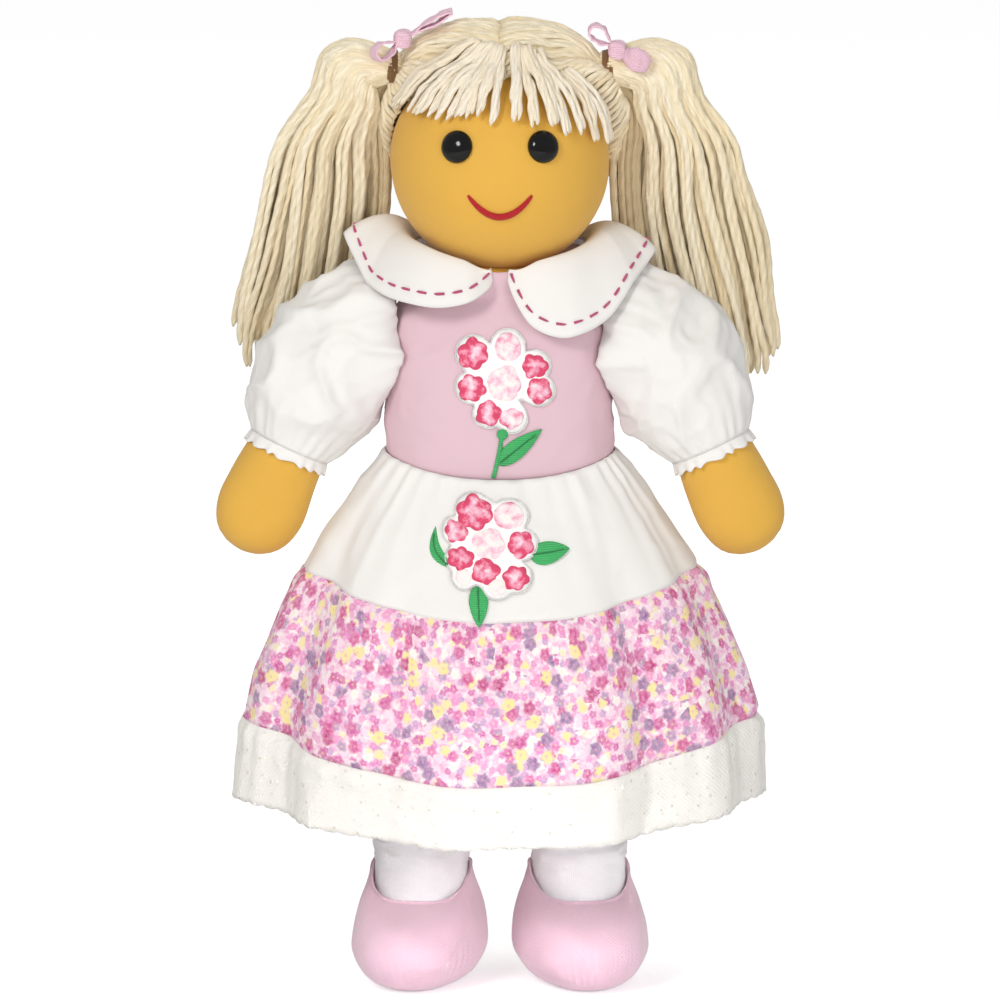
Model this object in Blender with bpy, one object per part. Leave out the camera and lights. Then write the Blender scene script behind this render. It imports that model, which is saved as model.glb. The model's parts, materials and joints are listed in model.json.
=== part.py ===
"""A stuffed rag doll in a puff-sleeved dress, standing on its soles and facing -Y.

All lengths are metres and all angles degrees. The doll's own left side is +X. Each piece is made
about the pivot that carries it: the body stays put, the neck turns on the body, the head nods on
the neck, each pigtail swings and lifts at its tie, each arm swings and lifts at its shoulder, both
legs fold forward together at the hip band, and each leg swings by itself below that band.
"""

import math

import bmesh
import bpy
from mathutils import Matrix, Vector

# Cloth and clearances
GAP = 0.0003
CLOTH = 0.0010
EASE = 0.0010
PATCH = 0.0012
OVERRUN = 0.0100

# Legs, from the soles up
LEG_LENGTH = 0.1700
LEG_TOP_X = 0.0245
ANKLE_X = 0.0340
LEG_HALF_WIDTH = 0.0200
LEG_RADIUS = 0.0185
HEEL_LIFT = 0.0120
SOCK_TOP_SHARE = 0.447
SOCK_BOTTOM = 0.0140
SHOE_HALF_WIDTH = 0.0284
SHOE_FRONT = 0.0520
SHOE_BACK = 0.0240
SHOE_SPLAY = 8.0
SHOE_HEEL_HEIGHT = 0.0500
SHOE_THROAT_DROP = 0.0140

# Hip band, the flat unstuffed strip that both legs are sewn to
BAND_HEIGHT = 0.0080
BAND_HALF_WIDTH = 0.0440
BAND_THICKNESS = 0.0030

# Body
BODY_LENGTH = 0.1222
BODY_HALF_WIDTH = 0.0480
BODY_HALF_DEPTH = 0.0325
BODY_ROUNDNESS = 2.3

# Neck and head
NECK_RADIUS = 0.0170
NECK_STEM_RADIUS = 0.0130
NECK_SEAT_DEPTH = 0.0140
NECK_RISE = 0.0040
HEAD_HALF_WIDTH = 0.0470
HEAD_HALF_DEPTH = 0.0440
HEAD_HALF_HEIGHT = 0.0480
HEAD_RISE = 0.0506

# Face
EYE_SPACING = 0.0366
EYE_RISE = 0.0124
EYE_RADIUS = 0.0069
EYE_HEIGHT = 0.0042
EYE_STEM_RADIUS = 0.0015
EYE_STEM_LENGTH = 0.0080
WASHER_RADIUS = 0.0055
WASHER_THICKNESS = 0.0012
WASHER_DEPTH = 0.0050
MOUTH_HALF_WIDTH = 0.0135
MOUTH_DROP = 0.0180
MOUTH_CURVE = 0.0093
MOUTH_RADIUS = 0.0011

# Hair
HAIR_HALF_WIDTH = 0.0530
HAIR_HALF_DEPTH = 0.0530
HAIR_HALF_HEIGHT = 0.0622
HAIR_EDGE = 0.0040
HAIR_EASE = 0.0016
HAIRLINE_FRONT = 40.0
HAIRLINE_BACK = 128.0
HAIRLINE_START = 45.0
HAIRLINE_SPAN = 108.0
FRINGE_ROOT = 13.0
FRINGE_END = 64.0
FRINGE_SPREAD = 58.0
FRINGE_THICKNESS = 0.0040
FRINGE_STEP = 2.6
TIE_RISE = 0.0399
TIE_BACK = 0.0020
TIE_RADIUS = 0.0090
TIE_LENGTH = 0.0048
PIGTAIL_ROOT_RADIUS = 0.0095
PIGTAIL_DROP = 0.1470
PIGTAIL_REACH = 0.0340
PIGTAIL_BACK = 0.0480
PIGTAIL_HALF_WIDTH = 0.0270
PIGTAIL_HALF_DEPTH = 0.0170

# Bows
BOW_KNOT_RADIUS = 0.0042
BOW_LOOP_LENGTH = 0.0230
BOW_LOOP_WIDTH = 0.0120
BOW_LOOP_THICKNESS = 0.0048
BOW_FORWARD = 0.0090

# Arms
SHOULDER_DROP = 0.0120
TAB_RADIUS = 0.0110
TAB_LENGTH = 0.0040
ARM_TOP_RADIUS = 0.0125
ARM_LENGTH = 0.1130
ARM_OUT_ANGLE = 24.8
ARM_FORWARD_ANGLE = 4.0
WRIST_AT = 0.0635
WRIST_RADIUS = 0.0165
HAND_RADIUS = 0.0190
HAND_FLATNESS_SHARE = 0.80

# Sleeves and cuffs
ARMHOLE_RADIUS = 0.0234
PUFF_RADIUS = 0.0285
PUFF_DEPTH_SHARE = 0.90
SLEEVE_CORNER_X = 0.0235
SLEEVE_CORNER_Z = 0.0100
FRILL_LENGTH = 0.0055
FRILL_FLARE = 0.0022

# Bodice
WAIST_ABOVE_HIP = 0.0530
WAIST_DIP = 0.0080
SHOULDER_SHARE = 0.975
NECKLINE_FRONT = 157.0
NECKLINE_SIDE = 135.0
NECKLINE_ROOM = 0.0045
NOD_ROOM = 0.0038
PLACKET_WIDTH = 0.0100

# Collar
COLLAR_SPLIT = 5.0
COLLAR_HALF_WIDTH = 0.0665
COLLAR_HALF_DEPTH = 0.0390
COLLAR_DROP = 0.0190
COLLAR_LIFT = 0.0115
COLLAR_ROLL = 0.0110
COLLAR_FRONT_ROLL = 0.0030
COLLAR_RIGHT_DROP_SHARE = 0.38
COLLAR_RIGHT_LIFT_SHARE = 1.60

# Skirt
HEM_HALF_WIDTH = 0.1120
HEM_HALF_DEPTH = 0.0770
SKIRT_LENGTH = 0.1495
SKIRT_FRONT_EXTRA = 0.0045
SKIRT_FLARE_POWER = 1.95
SKIRT_FOLD = 0.0032
SKIRT_FOLDS = 11
UPPER_TIER_SHARE = 0.334
UPPER_TIER_FRONT_SHARE = 0.043
FLORAL_TIER_SHARE = 0.766
FLORAL_TIER_FRONT_SHARE = 0.059

# Applique flowers
FLOWER_RADIUS = 0.0205
FLOWER_SCALLOP = 0.0022
FLOWER_SCALLOPS = 7
UPPER_FLOWER_SHARE = 0.525
UPPER_FLOWER_X = 0.0020
LOWER_FLOWER_X = -0.0040
LOWER_FLOWER_DROP = 0.0265
STEM_WIDTH = 0.0022
LEAF_LENGTH = 0.0190
LEAF_WIDTH = 0.0085

# Knickers
KNICKERS_TOP = 0.0340
KNICKERS_BOTTOM = 0.0040
KNICKERS_LEG_TOP = 0.0140
KNICKERS_LEG_BOTTOM = 0.0380
KNICKERS_PUFF = 0.0025
KNICKERS_NARROWING_SHARE = 0.10

# Places worked out from the sizes above
SEAT_Z = LEG_LENGTH + BAND_HEIGHT
BODY_BOTTOM_Z = SEAT_Z + BAND_THICKNESS / 2 + GAP
BODY_TOP_Z = BODY_BOTTOM_Z + BODY_LENGTH
NECK_Z = BODY_TOP_Z + NECK_RISE
HEAD_Z = NECK_Z + HEAD_RISE
TIE_Z = HEAD_Z + TIE_RISE
WAIST_Z = SEAT_Z + WAIST_ABOVE_HIP
SOCK_TOP = SOCK_TOP_SHARE * LEG_LENGTH
SHOULDER_Z = BODY_TOP_Z - SHOULDER_DROP

# Height, width and depth of the body as shares of its own, from the hip seam to the neck
BODY_SHARES = (
    (0.00, 0.93, 0.08),
    (0.10, 0.98, 0.33),
    (0.22, 1.00, 0.70),
    (0.38, 0.985, 0.95),
    (0.55, 0.97, 1.00),
    (0.74, 0.975, 0.96),
    (0.87, 0.95, 0.84),
    (0.955, 0.80, 0.68),
    (1.00, 0.52, 0.56),
)
# Distance down the leg, half width and half depth as shares of its own
LEG_SHARES = (
    (0.000, 0.97, 0.12),
    (0.075, 1.00, 0.46),
    (0.160, 1.02, 0.80),
    (0.250, 1.01, 0.95),
    (0.400, 1.00, 1.00),
    (0.520, 0.96, 0.96),
)
# Distance down the arm and its radius, the radius as a share of the wrist's
ARM_SHARES = ((0.10, 0.84), (0.24, 0.92), (0.40, 0.98), (0.562, 1.00))
# The same for the hand, its radius as a share of the hand's
HAND_SHARES = ((0.64, 0.925), (0.74, 0.985), (0.83, 1.00), (0.90, 0.91), (0.955, 0.70), (0.99, 0.36))
# Drop, reach outwards, reach backwards, half width and half depth of a pigtail
PIGTAIL_SHARES = (
    (0.105, 0.25, 0.08, 0.58, 0.70),
    (0.225, 0.50, 0.24, 0.79, 0.90),
    (0.40, 0.58, 0.48, 0.945, 1.00),
    (0.60, 0.72, 0.74, 1.00, 1.00),
    (0.78, 0.88, 0.93, 0.98, 0.98),
    (0.91, 1.00, 1.00, 0.89, 0.86),
    (0.985, 0.98, 1.04, 0.66, 0.56),
)
# Along the sleeve, its radius as a share of the puff's
SLEEVE_SHARES = ((0.14, 0.97), (0.32, 1.02), (0.52, 1.03), (0.70, 0.96), (0.86, 0.82))
# Height, front, back and half width of the shoe as shares of its own
SHOE_SHARES = (
    (0.00, 0.80, 0.80, 0.72),
    (0.10, 0.955, 0.94, 0.91),
    (0.28, 1.00, 1.00, 1.00),
    (0.50, 0.985, 1.00, 0.995),
    (0.70, 0.86, 0.98, 0.92),
    (0.86, 0.63, 0.945, 0.82),
)
# Outer edge of a collar leaf from the front to the back: sideways, depth and height as shares
COLLAR_SHARES = (
    (0.03, -0.64, 0.30),
    (0.085, -0.78, -0.24),
    (0.20, -0.93, -0.83),
    (0.37, -0.98, -1.10),
    (0.52, -0.96, -1.02),
    (0.70, -0.78, -0.72),
    (0.83, -0.56, -0.18),
    (0.94, -0.24, 0.48),
    (1.01, 0.06, 1.00),
    (0.90, 0.42, 0.53),
    (0.69, 0.72, -0.14),
    (0.36, 0.95, -0.42),
    (0.05, 0.98, -0.46),
)

COLOURS = {
    "skin": (0.75, 0.43, 0.07),
    "hair": (0.76, 0.66, 0.48),
    "bow_pink": (0.80, 0.42, 0.52),
    "white_cotton": (0.85, 0.83, 0.80),
    "pink_linen": (0.74, 0.52, 0.58),
    "floral_print": (0.71, 0.32, 0.50),
    "shoe_pink": (0.84, 0.55, 0.68),
    "eye_black": (0.01, 0.01, 0.01),
    "mouth_red": (0.55, 0.02, 0.03),
    "flower_pink": (0.78, 0.22, 0.34),
    "leaf_green": (0.05, 0.40, 0.13),
    "plastic": (0.80, 0.80, 0.78),
    "calico": (0.80, 0.74, 0.62),
}
ROUGHNESS = {"eye_black": 0.10, "plastic": 0.45}
CLOTH_ROUGHNESS = 0.9
SHARP_ANGLE = 42.0
POINTS_ROUND = 24
FEW_POINTS_ROUND = 16
SMALL_POINTS_ROUND = 12
SKIRT_POINTS = 5 * SKIRT_FOLDS


def clear_scene():
    for old in list(bpy.data.objects):
        bpy.data.objects.remove(old)


def finish_of(name):
    """A plain material of this colour, made once."""
    known = bpy.data.materials.get(name)
    if known:
        return known
    made = bpy.data.materials.new(name)
    made.use_nodes = True
    shader = made.node_tree.nodes["Principled BSDF"]
    shader.inputs["Base Color"].default_value = (*COLOURS[name], 1.0)
    shader.inputs["Roughness"].default_value = ROUGHNESS.get(name, CLOTH_ROUGHNESS)
    return made


def pivot(name, place, parent=None):
    """An empty at a joint, which carries the pieces that turn about it."""
    empty = bpy.data.objects.new(name, None)
    bpy.context.scene.collection.objects.link(empty)
    empty["place"] = tuple(place)
    if parent:
        empty.parent = parent
        empty.location = Vector(place) - Vector(parent["place"])
    else:
        empty.location = place
    return empty


def add_piece(name, shape, finish, carrier):
    """Turn a bmesh, made in the doll's own frame, into a piece whose origin is its carrier's."""
    bmesh.ops.recalc_face_normals(shape, faces=shape.faces)
    bmesh.ops.translate(shape, verts=shape.verts, vec=-Vector(carrier["place"]))
    mesh = bpy.data.meshes.new(name)
    shape.to_mesh(mesh)
    shape.free()
    mesh.shade_smooth()
    mesh.set_sharp_from_angle(angle=math.radians(SHARP_ANGLE))
    mesh.materials.append(finish_of(finish))
    piece = bpy.data.objects.new(name, mesh)
    piece.parent = carrier
    bpy.context.scene.collection.objects.link(piece)
    return piece


def blended(table, share):
    """Row of a table of shares at this place along its first column, on a smooth curve."""
    last = len(table) - 1
    at = 0
    while at < last - 1 and table[at + 1][0] < share:
        at += 1
    low, high = table[at], table[at + 1]
    t = (share - low[0]) / (high[0] - low[0])
    t = min(max(t, 0.0), 1.0)
    before = table[max(at - 1, 0)]
    after = table[min(at + 2, last)]
    row = []
    for i in range(1, len(low)):
        slope_low = (high[i] - before[i]) / (high[0] - before[0]) * (high[0] - low[0])
        slope_high = (after[i] - low[i]) / (after[0] - low[0]) * (high[0] - low[0])
        row.append(
            (2 * t**3 - 3 * t**2 + 1) * low[i]
            + (t**3 - 2 * t**2 + t) * slope_low
            + (3 * t**2 - 2 * t**3) * high[i]
            + (t**3 - t**2) * slope_high
        )
    return row


def smooth(share):
    share = min(max(share, 0.0), 1.0)
    return share * share * (3 - 2 * share)


def oval(angle, roundness=2.0):
    """Unit point of a rounded oval, at an angle in radians from its first axis."""
    c, s = math.cos(angle), math.sin(angle)
    power = 2 / roundness
    return math.copysign(abs(c) ** power, c), math.copysign(abs(s) ** power, s)


def ring(centre, across, along, count, roundness=2.0, ripple=None):
    """Points round a centre; across and along are half-size vectors."""
    points = []
    for i in range(count):
        angle = 2 * math.pi * i / count
        a, b = oval(angle, roundness)
        size = ripple(angle) if ripple else 1.0
        points.append(Vector(centre) + size * (a * Vector(across) + b * Vector(along)))
    return points


def level_ring(x, y, z, half_width, half_depth, count, roundness=2.0):
    return ring((x, y, z), (half_width, 0, 0), (0, half_depth, 0), count, roundness)


def loft(rings, joined=False):
    """Closed skin over rings of equal count: capped at both ends, or joined last to first."""
    shape = bmesh.new()
    rows = [[shape.verts.new(p) for p in points] for points in rings]
    pairs = list(zip(rows, rows[1:]))
    if joined:
        pairs.append((rows[-1], rows[0]))
    for low, high in pairs:
        count = len(low)
        for i in range(count):
            j = (i + 1) % count
            shape.faces.new((low[i], low[j], high[j], high[i]))
    if not joined:
        for end in (rows[0], rows[-1]):
            middle = shape.verts.new(sum((v.co for v in end), Vector()) / len(end))
            for i in range(len(end)):
                shape.faces.new((end[i], end[(i + 1) % len(end)], middle))
    return shape


def sheet(front, back):
    """Closed slab between two grids of points, row by row."""
    shape = bmesh.new()
    sides = [[[shape.verts.new(p) for p in row] for row in grid] for grid in (front, back)]
    for grid in sides:
        for low, high in zip(grid, grid[1:]):
            for i in range(len(low) - 1):
                shape.faces.new((low[i], low[i + 1], high[i + 1], high[i]))
    edges = []
    for grid in sides:
        edge = list(grid[0])
        edge += [row[-1] for row in grid[1:]]
        edge += list(reversed(grid[-1][:-1]))
        edge += [row[0] for row in reversed(grid[1:-1])]
        edges.append(edge)
    count = len(edges[0])
    for i in range(count):
        j = (i + 1) % count
        shape.faces.new((edges[0][i], edges[0][j], edges[1][j], edges[1][i]))
    return shape


def turned(outline, centre, axis, count):
    """Solid of revolution: outline is (distance along the axis, radius) from end to end."""
    axis = Vector(axis).normalized()
    across = axis.orthogonal().normalized()
    along = axis.cross(across)
    rings = []
    for distance, radius in outline:
        rings.append(ring(Vector(centre) + distance * axis, radius * across, radius * along, count))
    return loft(rings)


def cut(piece, cutter):
    """Take the cutter's shape out of a piece."""
    cutter.hide_render = True
    cutter.display_type = "WIRE"
    hole = piece.modifiers.new(cutter.name, "BOOLEAN")
    hole.operation = "DIFFERENCE"
    hole.solver = "EXACT"
    hole.object = cutter


def body_profile(share):
    """Height, half width and half depth of the body at a share of its length."""
    width, depth = blended(BODY_SHARES, share)
    return (
        BODY_BOTTOM_Z + share * BODY_LENGTH,
        width * BODY_HALF_WIDTH,
        depth * BODY_HALF_DEPTH,
    )


def body_point(angle, share, out=0.0):
    """Point on the body, moved out along its surface's normal."""

    def at(a, s):
        z, half_width, half_depth = body_profile(s)
        x, y = oval(a, BODY_ROUNDNESS)
        return Vector((x * half_width, y * half_depth, z))

    step = 1e-3
    # The step along the angle stays off the oval's own corners, where its slope isn't defined
    turn = at(angle + step, share) - at(angle - step, share)
    rise = at(angle, min(share + step, 1.0)) - at(angle, share - step)
    normal = turn.cross(rise).normalized()
    return at(angle, share) + out * normal


def share_at_height(z):
    return (z - BODY_BOTTOM_Z) / BODY_LENGTH


def head_point(polar, turn, out=0.0):
    """Point on the head: polar from its crown, turn from its face towards +X, in degrees."""
    b, a = math.radians(polar), math.radians(turn)
    return Vector(
        (
            (HEAD_HALF_WIDTH + out) * math.sin(b) * math.sin(a),
            -(HEAD_HALF_DEPTH + out) * math.sin(b) * math.cos(a),
            HEAD_Z + (HEAD_HALF_HEIGHT + out) * math.cos(b),
        )
    )


def hairline(turn):
    """Polar angle of the wig's edge, low at the nape and high over the forehead."""
    side = abs((turn + 180.0) % 360.0 - 180.0)
    return HAIRLINE_FRONT + (HAIRLINE_BACK - HAIRLINE_FRONT) * smooth((side - HAIRLINE_START) / HAIRLINE_SPAN)


def hair_point(polar, turn):
    """Outer surface of the wig."""
    edge = head_point(polar, turn, HAIR_EASE + HAIR_EDGE)
    b, a = math.radians(polar), math.radians(turn)
    full = Vector(
        (
            HAIR_HALF_WIDTH * math.sin(b) * math.sin(a),
            -HAIR_HALF_DEPTH * math.sin(b) * math.cos(a),
            HEAD_Z + HAIR_HALF_HEIGHT * math.cos(b),
        )
    )
    return edge.lerp(full, smooth((1.0 - polar / hairline(turn)) / 0.40))


def skirt_point(angle, share, out=0.0):
    """Point on the skirt's outer cloth: angle round from +X, share of the way to the hem."""

    def at(a, s):
        start = body_point(a, share_at_height(WAIST_Z), EASE + CLOTH)
        x, y = oval(a, 2.0)
        front = y * y
        flare = 1 - max(1 - s, 0.0) ** SKIRT_FLARE_POWER
        place = start.lerp(Vector((x * HEM_HALF_WIDTH, y * HEM_HALF_DEPTH, start.z)), flare)
        length = SKIRT_LENGTH + SKIRT_FRONT_EXTRA * front
        place.z = WAIST_Z - WAIST_DIP * front - length * s
        flatter = 1 - 0.85 * math.exp(-(((a % (2 * math.pi)) - 1.5 * math.pi) / 0.38) ** 2)
        wave = math.cos(SKIRT_FOLDS * a + 0.6) + 0.4 * math.cos((SKIRT_FOLDS - 4) * a + 2.1)
        fold = SKIRT_FOLD * min(1.6 * s, 1.0) * wave * (flatter if s < UPPER_TIER_SHARE + 0.1 else 1.0)
        away = Vector((x / HEM_HALF_WIDTH, y / HEM_HALF_DEPTH, 0)).normalized()
        return place + fold * away

    if not out:
        return at(angle, share)
    step = 1e-3
    turn = at(angle + step, share) - at(angle - step, share)
    rise = at(angle, share - step) - at(angle, share + step)
    return at(angle, share) + out * turn.cross(rise).normalized()


def make_body(carrier):
    rings = []
    for share in (0.0, 0.05, 0.11, 0.19, 0.28, 0.40, 0.55, 0.70, 0.80, 0.88, 0.94, 0.975, 1.0):
        z, half_width, half_depth = body_profile(share)
        rings.append(level_ring(0, 0, z, half_width, half_depth, POINTS_ROUND, BODY_ROUNDNESS))
    bore = NECK_STEM_RADIUS + GAP
    for z in (BODY_TOP_Z, BODY_TOP_Z - NECK_SEAT_DEPTH):
        rings.append(level_ring(0, 0, z, bore, bore, POINTS_ROUND))
    add_piece("body", loft(rings), "calico", carrier)


def make_neck(carrier):
    """Stem that sits in the body, under a ball that the head nods on."""
    seat = BODY_TOP_Z - NECK_SEAT_DEPTH + GAP
    shoulder = BODY_TOP_Z + GAP - NECK_Z
    outline = [(seat - NECK_Z, NECK_STEM_RADIUS), (shoulder, NECK_STEM_RADIUS)]
    start = math.degrees(math.acos(-shoulder / NECK_RADIUS))
    steps = 7
    for i in range(steps):
        angle = math.radians(start + (180.0 - start) * i / steps)
        outline.append((-NECK_RADIUS * math.cos(angle), NECK_RADIUS * math.sin(angle)))
    add_piece("neck", turned(outline, (0, 0, NECK_Z), (0, 0, 1), POINTS_ROUND), "skin", carrier)


def eye_frame(side):
    """Where an eye sits on the head, and the direction that it looks in."""
    polar = math.acos(EYE_RISE / HEAD_HALF_HEIGHT)
    turn = math.asin(EYE_SPACING / 2 / (HEAD_HALF_WIDTH * math.sin(polar)))
    polar, turn = math.degrees(polar), side * math.degrees(turn)
    place = head_point(polar, turn)
    normal = head_point(polar, turn, OVERRUN) - place
    return place, normal.normalized()


def make_head(carrier):
    socket = NECK_RADIUS + EASE
    rings = []
    # The crown, cheeks and chin, down to the edge of the neck's socket
    edge_polar = 180.0
    while (head_point(edge_polar, 0.0) - Vector((0, 0, NECK_Z))).length < socket:
        edge_polar -= 0.25
    rows = 13
    for i in range(1, rows + 1):
        polar = edge_polar * i / rows
        rings.append([head_point(polar, 360.0 * k / POINTS_ROUND) for k in range(POINTS_ROUND)])
    start = math.degrees(math.acos((head_point(edge_polar, 0.0).z - NECK_Z) / socket))
    for share in (0.94, 0.70, 0.45, 0.18):
        b = math.radians(share * start)
        points = []
        for k in range(POINTS_ROUND):
            a = 2 * math.pi * k / POINTS_ROUND
            points.append(
                Vector((math.sin(b) * math.sin(a), -math.sin(b) * math.cos(a), math.cos(b))) * socket
                + Vector((0, 0, NECK_Z))
            )
        rings.append(points)
    head = add_piece("head", loft(rings), "skin", carrier)
    for side in (1, -1):
        place, normal = eye_frame(side)
        hole = EYE_STEM_RADIUS + GAP
        room = WASHER_RADIUS + GAP
        floor = -(WASHER_DEPTH + WASHER_THICKNESS + GAP)
        outline = [
            (floor - EYE_STEM_LENGTH + WASHER_DEPTH, hole),
            (floor, hole),
            (floor, room),
            (-WASHER_DEPTH + GAP, room),
            (-WASHER_DEPTH + GAP, hole),
            (OVERRUN, hole),
        ]
        shape = turned(outline, place, normal, SMALL_POINTS_ROUND)
        cut(head, add_piece(f"eye_hole_{side}", shape, "skin", carrier))


def make_eyes(carrier):
    """Domed eyes on stems, each locked by a washer in the stuffing."""
    for side, word in ((1, "left"), (-1, "right")):
        place, normal = eye_frame(side)
        outline = [(-EYE_STEM_LENGTH, EYE_STEM_RADIUS), (GAP, EYE_STEM_RADIUS)]
        for i in range(5):
            angle = math.radians(90.0 * i / 5)
            outline.append((GAP + EYE_HEIGHT * math.sin(angle), EYE_RADIUS * math.cos(angle)))
        add_piece(
            f"eye_{word}", turned(outline, place, normal, FEW_POINTS_ROUND), "eye_black", carrier
        )
        across = normal.orthogonal().normalized()
        along = normal.cross(across)
        bore = EYE_STEM_RADIUS + GAP
        low, high = -(WASHER_DEPTH + WASHER_THICKNESS), -WASHER_DEPTH
        rings = []
        for distance, radius in (
            (low, WASHER_RADIUS),
            (high, WASHER_RADIUS),
            (high, bore),
            (low, bore),
        ):
            centre = place + distance * normal
            rings.append(ring(centre, radius * across, radius * along, SMALL_POINTS_ROUND))
        add_piece(f"eye_washer_{word}", loft(rings, joined=True), "plastic", carrier)


def make_mouth(carrier):
    """Satin-stitched smile, a tapered cord along a curve on the face."""
    rings = []
    steps = 12
    for i in range(steps + 1):
        u = -1 + 2 * i / steps
        x = MOUTH_HALF_WIDTH * u
        rise = -MOUTH_DROP + MOUTH_CURVE * u * u
        polar = math.acos(rise / HEAD_HALF_HEIGHT)
        turn = math.asin(x / (HEAD_HALF_WIDTH * math.sin(polar)))
        radius = MOUTH_RADIUS * (0.35 + 0.65 * math.sqrt(1 - u * u))
        centre = head_point(math.degrees(polar), math.degrees(turn), radius * 0.6 + 2 * GAP)
        out = (centre - head_point(math.degrees(polar), math.degrees(turn))).normalized()
        slope = Vector((1, 0, 2 * MOUTH_CURVE * u / MOUTH_HALF_WIDTH)).normalized()
        up = out.cross(slope).normalized()
        rings.append(ring(centre, 0.6 * radius * out, radius * up, 8))
    add_piece("mouth", loft(rings), "mouth_red", carrier)


def make_hair(carrier):
    outer, inner = [], []
    for share in (0.08, 0.21, 0.34, 0.47, 0.60, 0.71, 0.81, 0.91, 1.0):
        turns = [360.0 * k / POINTS_ROUND for k in range(POINTS_ROUND)]
        outer.append([hair_point(share * hairline(t), t) for t in turns])
        inner.append([head_point(share * hairline(t), t, HAIR_EASE) for t in turns])
    shape = loft(outer + list(reversed(inner)))
    add_piece("hair_cap", shape, "hair", carrier)
    front, back = [], []
    columns = 16
    rows = 6
    for j in range(rows + 1):
        front_row, back_row = [], []
        for i in range(columns + 1):
            turn = FRINGE_SPREAD * (2 * i / columns - 1)
            step = FRINGE_STEP * (1 if i % 2 else -1) * (j == rows)
            polar = FRINGE_ROOT + (FRINGE_END + step - FRINGE_ROOT) * j / rows
            base = hair_point(min(polar, hairline(turn)), turn)
            if polar > hairline(turn):
                base = head_point(polar, turn, HAIR_EASE + HAIR_EDGE)
            out = (base - Vector((0, 0, HEAD_Z))).normalized()
            back_row.append(base + EASE * out)
            front_row.append(base + (EASE + FRINGE_THICKNESS) * out)
        front.append(front_row)
        back.append(back_row)
    add_piece("fringe", sheet(front, back), "hair", carrier)


def tie_inner_x():
    """Where the wig's faceted side is at the height of a tie, which sits against it."""
    polar = HAIRLINE_FRONT
    while hair_point(polar, 90.0).z > TIE_Z - TIE_RADIUS:
        polar += 0.25
    return hair_point(polar, 90.0).x - EASE


def pigtail_pivot(side):
    x = tie_inner_x() + TIE_LENGTH + GAP + PIGTAIL_ROOT_RADIUS
    return Vector((side * x, TIE_BACK, TIE_Z))


def make_pigtail(side, word, tie_carrier, pigtail_carrier):
    start = tie_inner_x()
    outline = []
    for share, radius in ((0.0, 0.78), (0.2, 0.96), (0.5, 1.0), (0.8, 0.96), (1.0, 0.78)):
        outline.append((share * TIE_LENGTH, radius * TIE_RADIUS))
    tie = turned(outline, (side * start, TIE_BACK, TIE_Z), (side, 0, 0), FEW_POINTS_ROUND)
    add_piece(f"hair_tie_{word}", tie, "hair", tie_carrier)
    centre = pigtail_pivot(side)
    rings = []
    for polar in (22.0, 45.0, 68.0, 92.0):
        b = math.radians(polar)
        radius = PIGTAIL_ROOT_RADIUS * math.sin(b)
        z = centre.z + PIGTAIL_ROOT_RADIUS * math.cos(b)
        rings.append(level_ring(centre.x, centre.y, z, radius, radius, FEW_POINTS_ROUND))
    for drop, reach, back, width, depth in PIGTAIL_SHARES:
        rings.append(
            level_ring(
                centre.x + side * reach * PIGTAIL_REACH,
                centre.y + back * PIGTAIL_BACK,
                centre.z - drop * PIGTAIL_DROP,
                width * PIGTAIL_HALF_WIDTH,
                depth * PIGTAIL_HALF_DEPTH,
                FEW_POINTS_ROUND,
            )
        )
    add_piece(f"pigtail_{word}", loft(rings), "hair", pigtail_carrier)


def make_bow(side, word, carrier):
    """A knot on the tie's front and top, with a loop to each side of it."""
    knot_x = tie_inner_x() + TIE_LENGTH / 2
    rise = math.sqrt((TIE_RADIUS + BOW_KNOT_RADIUS + GAP) ** 2 - BOW_FORWARD**2)
    knot = Vector((side * knot_x, TIE_BACK - BOW_FORWARD, TIE_Z + rise))
    outline = []
    for polar in (20.0, 50.0, 80.0, 110.0, 140.0, 160.0):
        b = math.radians(polar)
        outline.append((BOW_KNOT_RADIUS * math.cos(b), BOW_KNOT_RADIUS * math.sin(b)))
    shape = turned(list(reversed(outline)), knot, (side, 0, 0), SMALL_POINTS_ROUND)
    add_piece(f"bow_knot_{word}", shape, "bow_pink", carrier)
    directions = {
        "inner": Vector((-side * 0.78, -0.04, 0.66)),
        "outer": Vector((side * 0.72, -0.62, 0.10)),
    }
    for place, direction in directions.items():
        direction.normalize()
        width = direction.cross(Vector((0, 1, 0.25))).normalized()
        thick = direction.cross(width).normalized()
        rings = []
        for share, wide, deep in (
            (0.0, 0.30, 0.62),
            (0.18, 0.62, 0.80),
            (0.42, 0.94, 1.0),
            (0.68, 1.0, 0.94),
            (0.88, 0.80, 0.74),
            (0.98, 0.42, 0.42),
        ):
            at = knot + direction * (BOW_KNOT_RADIUS + GAP + share * BOW_LOOP_LENGTH)
            rings.append(
                ring(
                    at,
                    wide * BOW_LOOP_WIDTH / 2 * width,
                    deep * BOW_LOOP_THICKNESS / 2 * thick,
                    SMALL_POINTS_ROUND,
                )
            )
        add_piece(f"bow_loop_{place}_{word}", loft(rings), "bow_pink", carrier)


def bodice_share(v, angle):
    """Share of the body's length at v, from 0 at the waist to 1 at the neckline."""
    # Rows lie closer together over the rounded shoulders
    v = v * (1.45 - 0.45 * v)
    low = share_at_height(WAIST_Z - WAIST_DIP * oval(angle)[1] ** 2)
    return low + (SHOULDER_SHARE - low) * v


def neckline(angle):
    """Where the collar is sewn on, clear of the head's underside, at an angle round from +X."""
    side = abs(math.cos(angle))
    polar = NECKLINE_FRONT + (NECKLINE_SIDE - NECKLINE_FRONT) * smooth(side)
    room = NECKLINE_ROOM + NOD_ROOM * (1 - side)
    return head_point(polar, math.degrees(angle) + 90.0, room)


def armhole_z():
    return SHOULDER_Z - 0.3 * ARM_TOP_RADIUS


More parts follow.
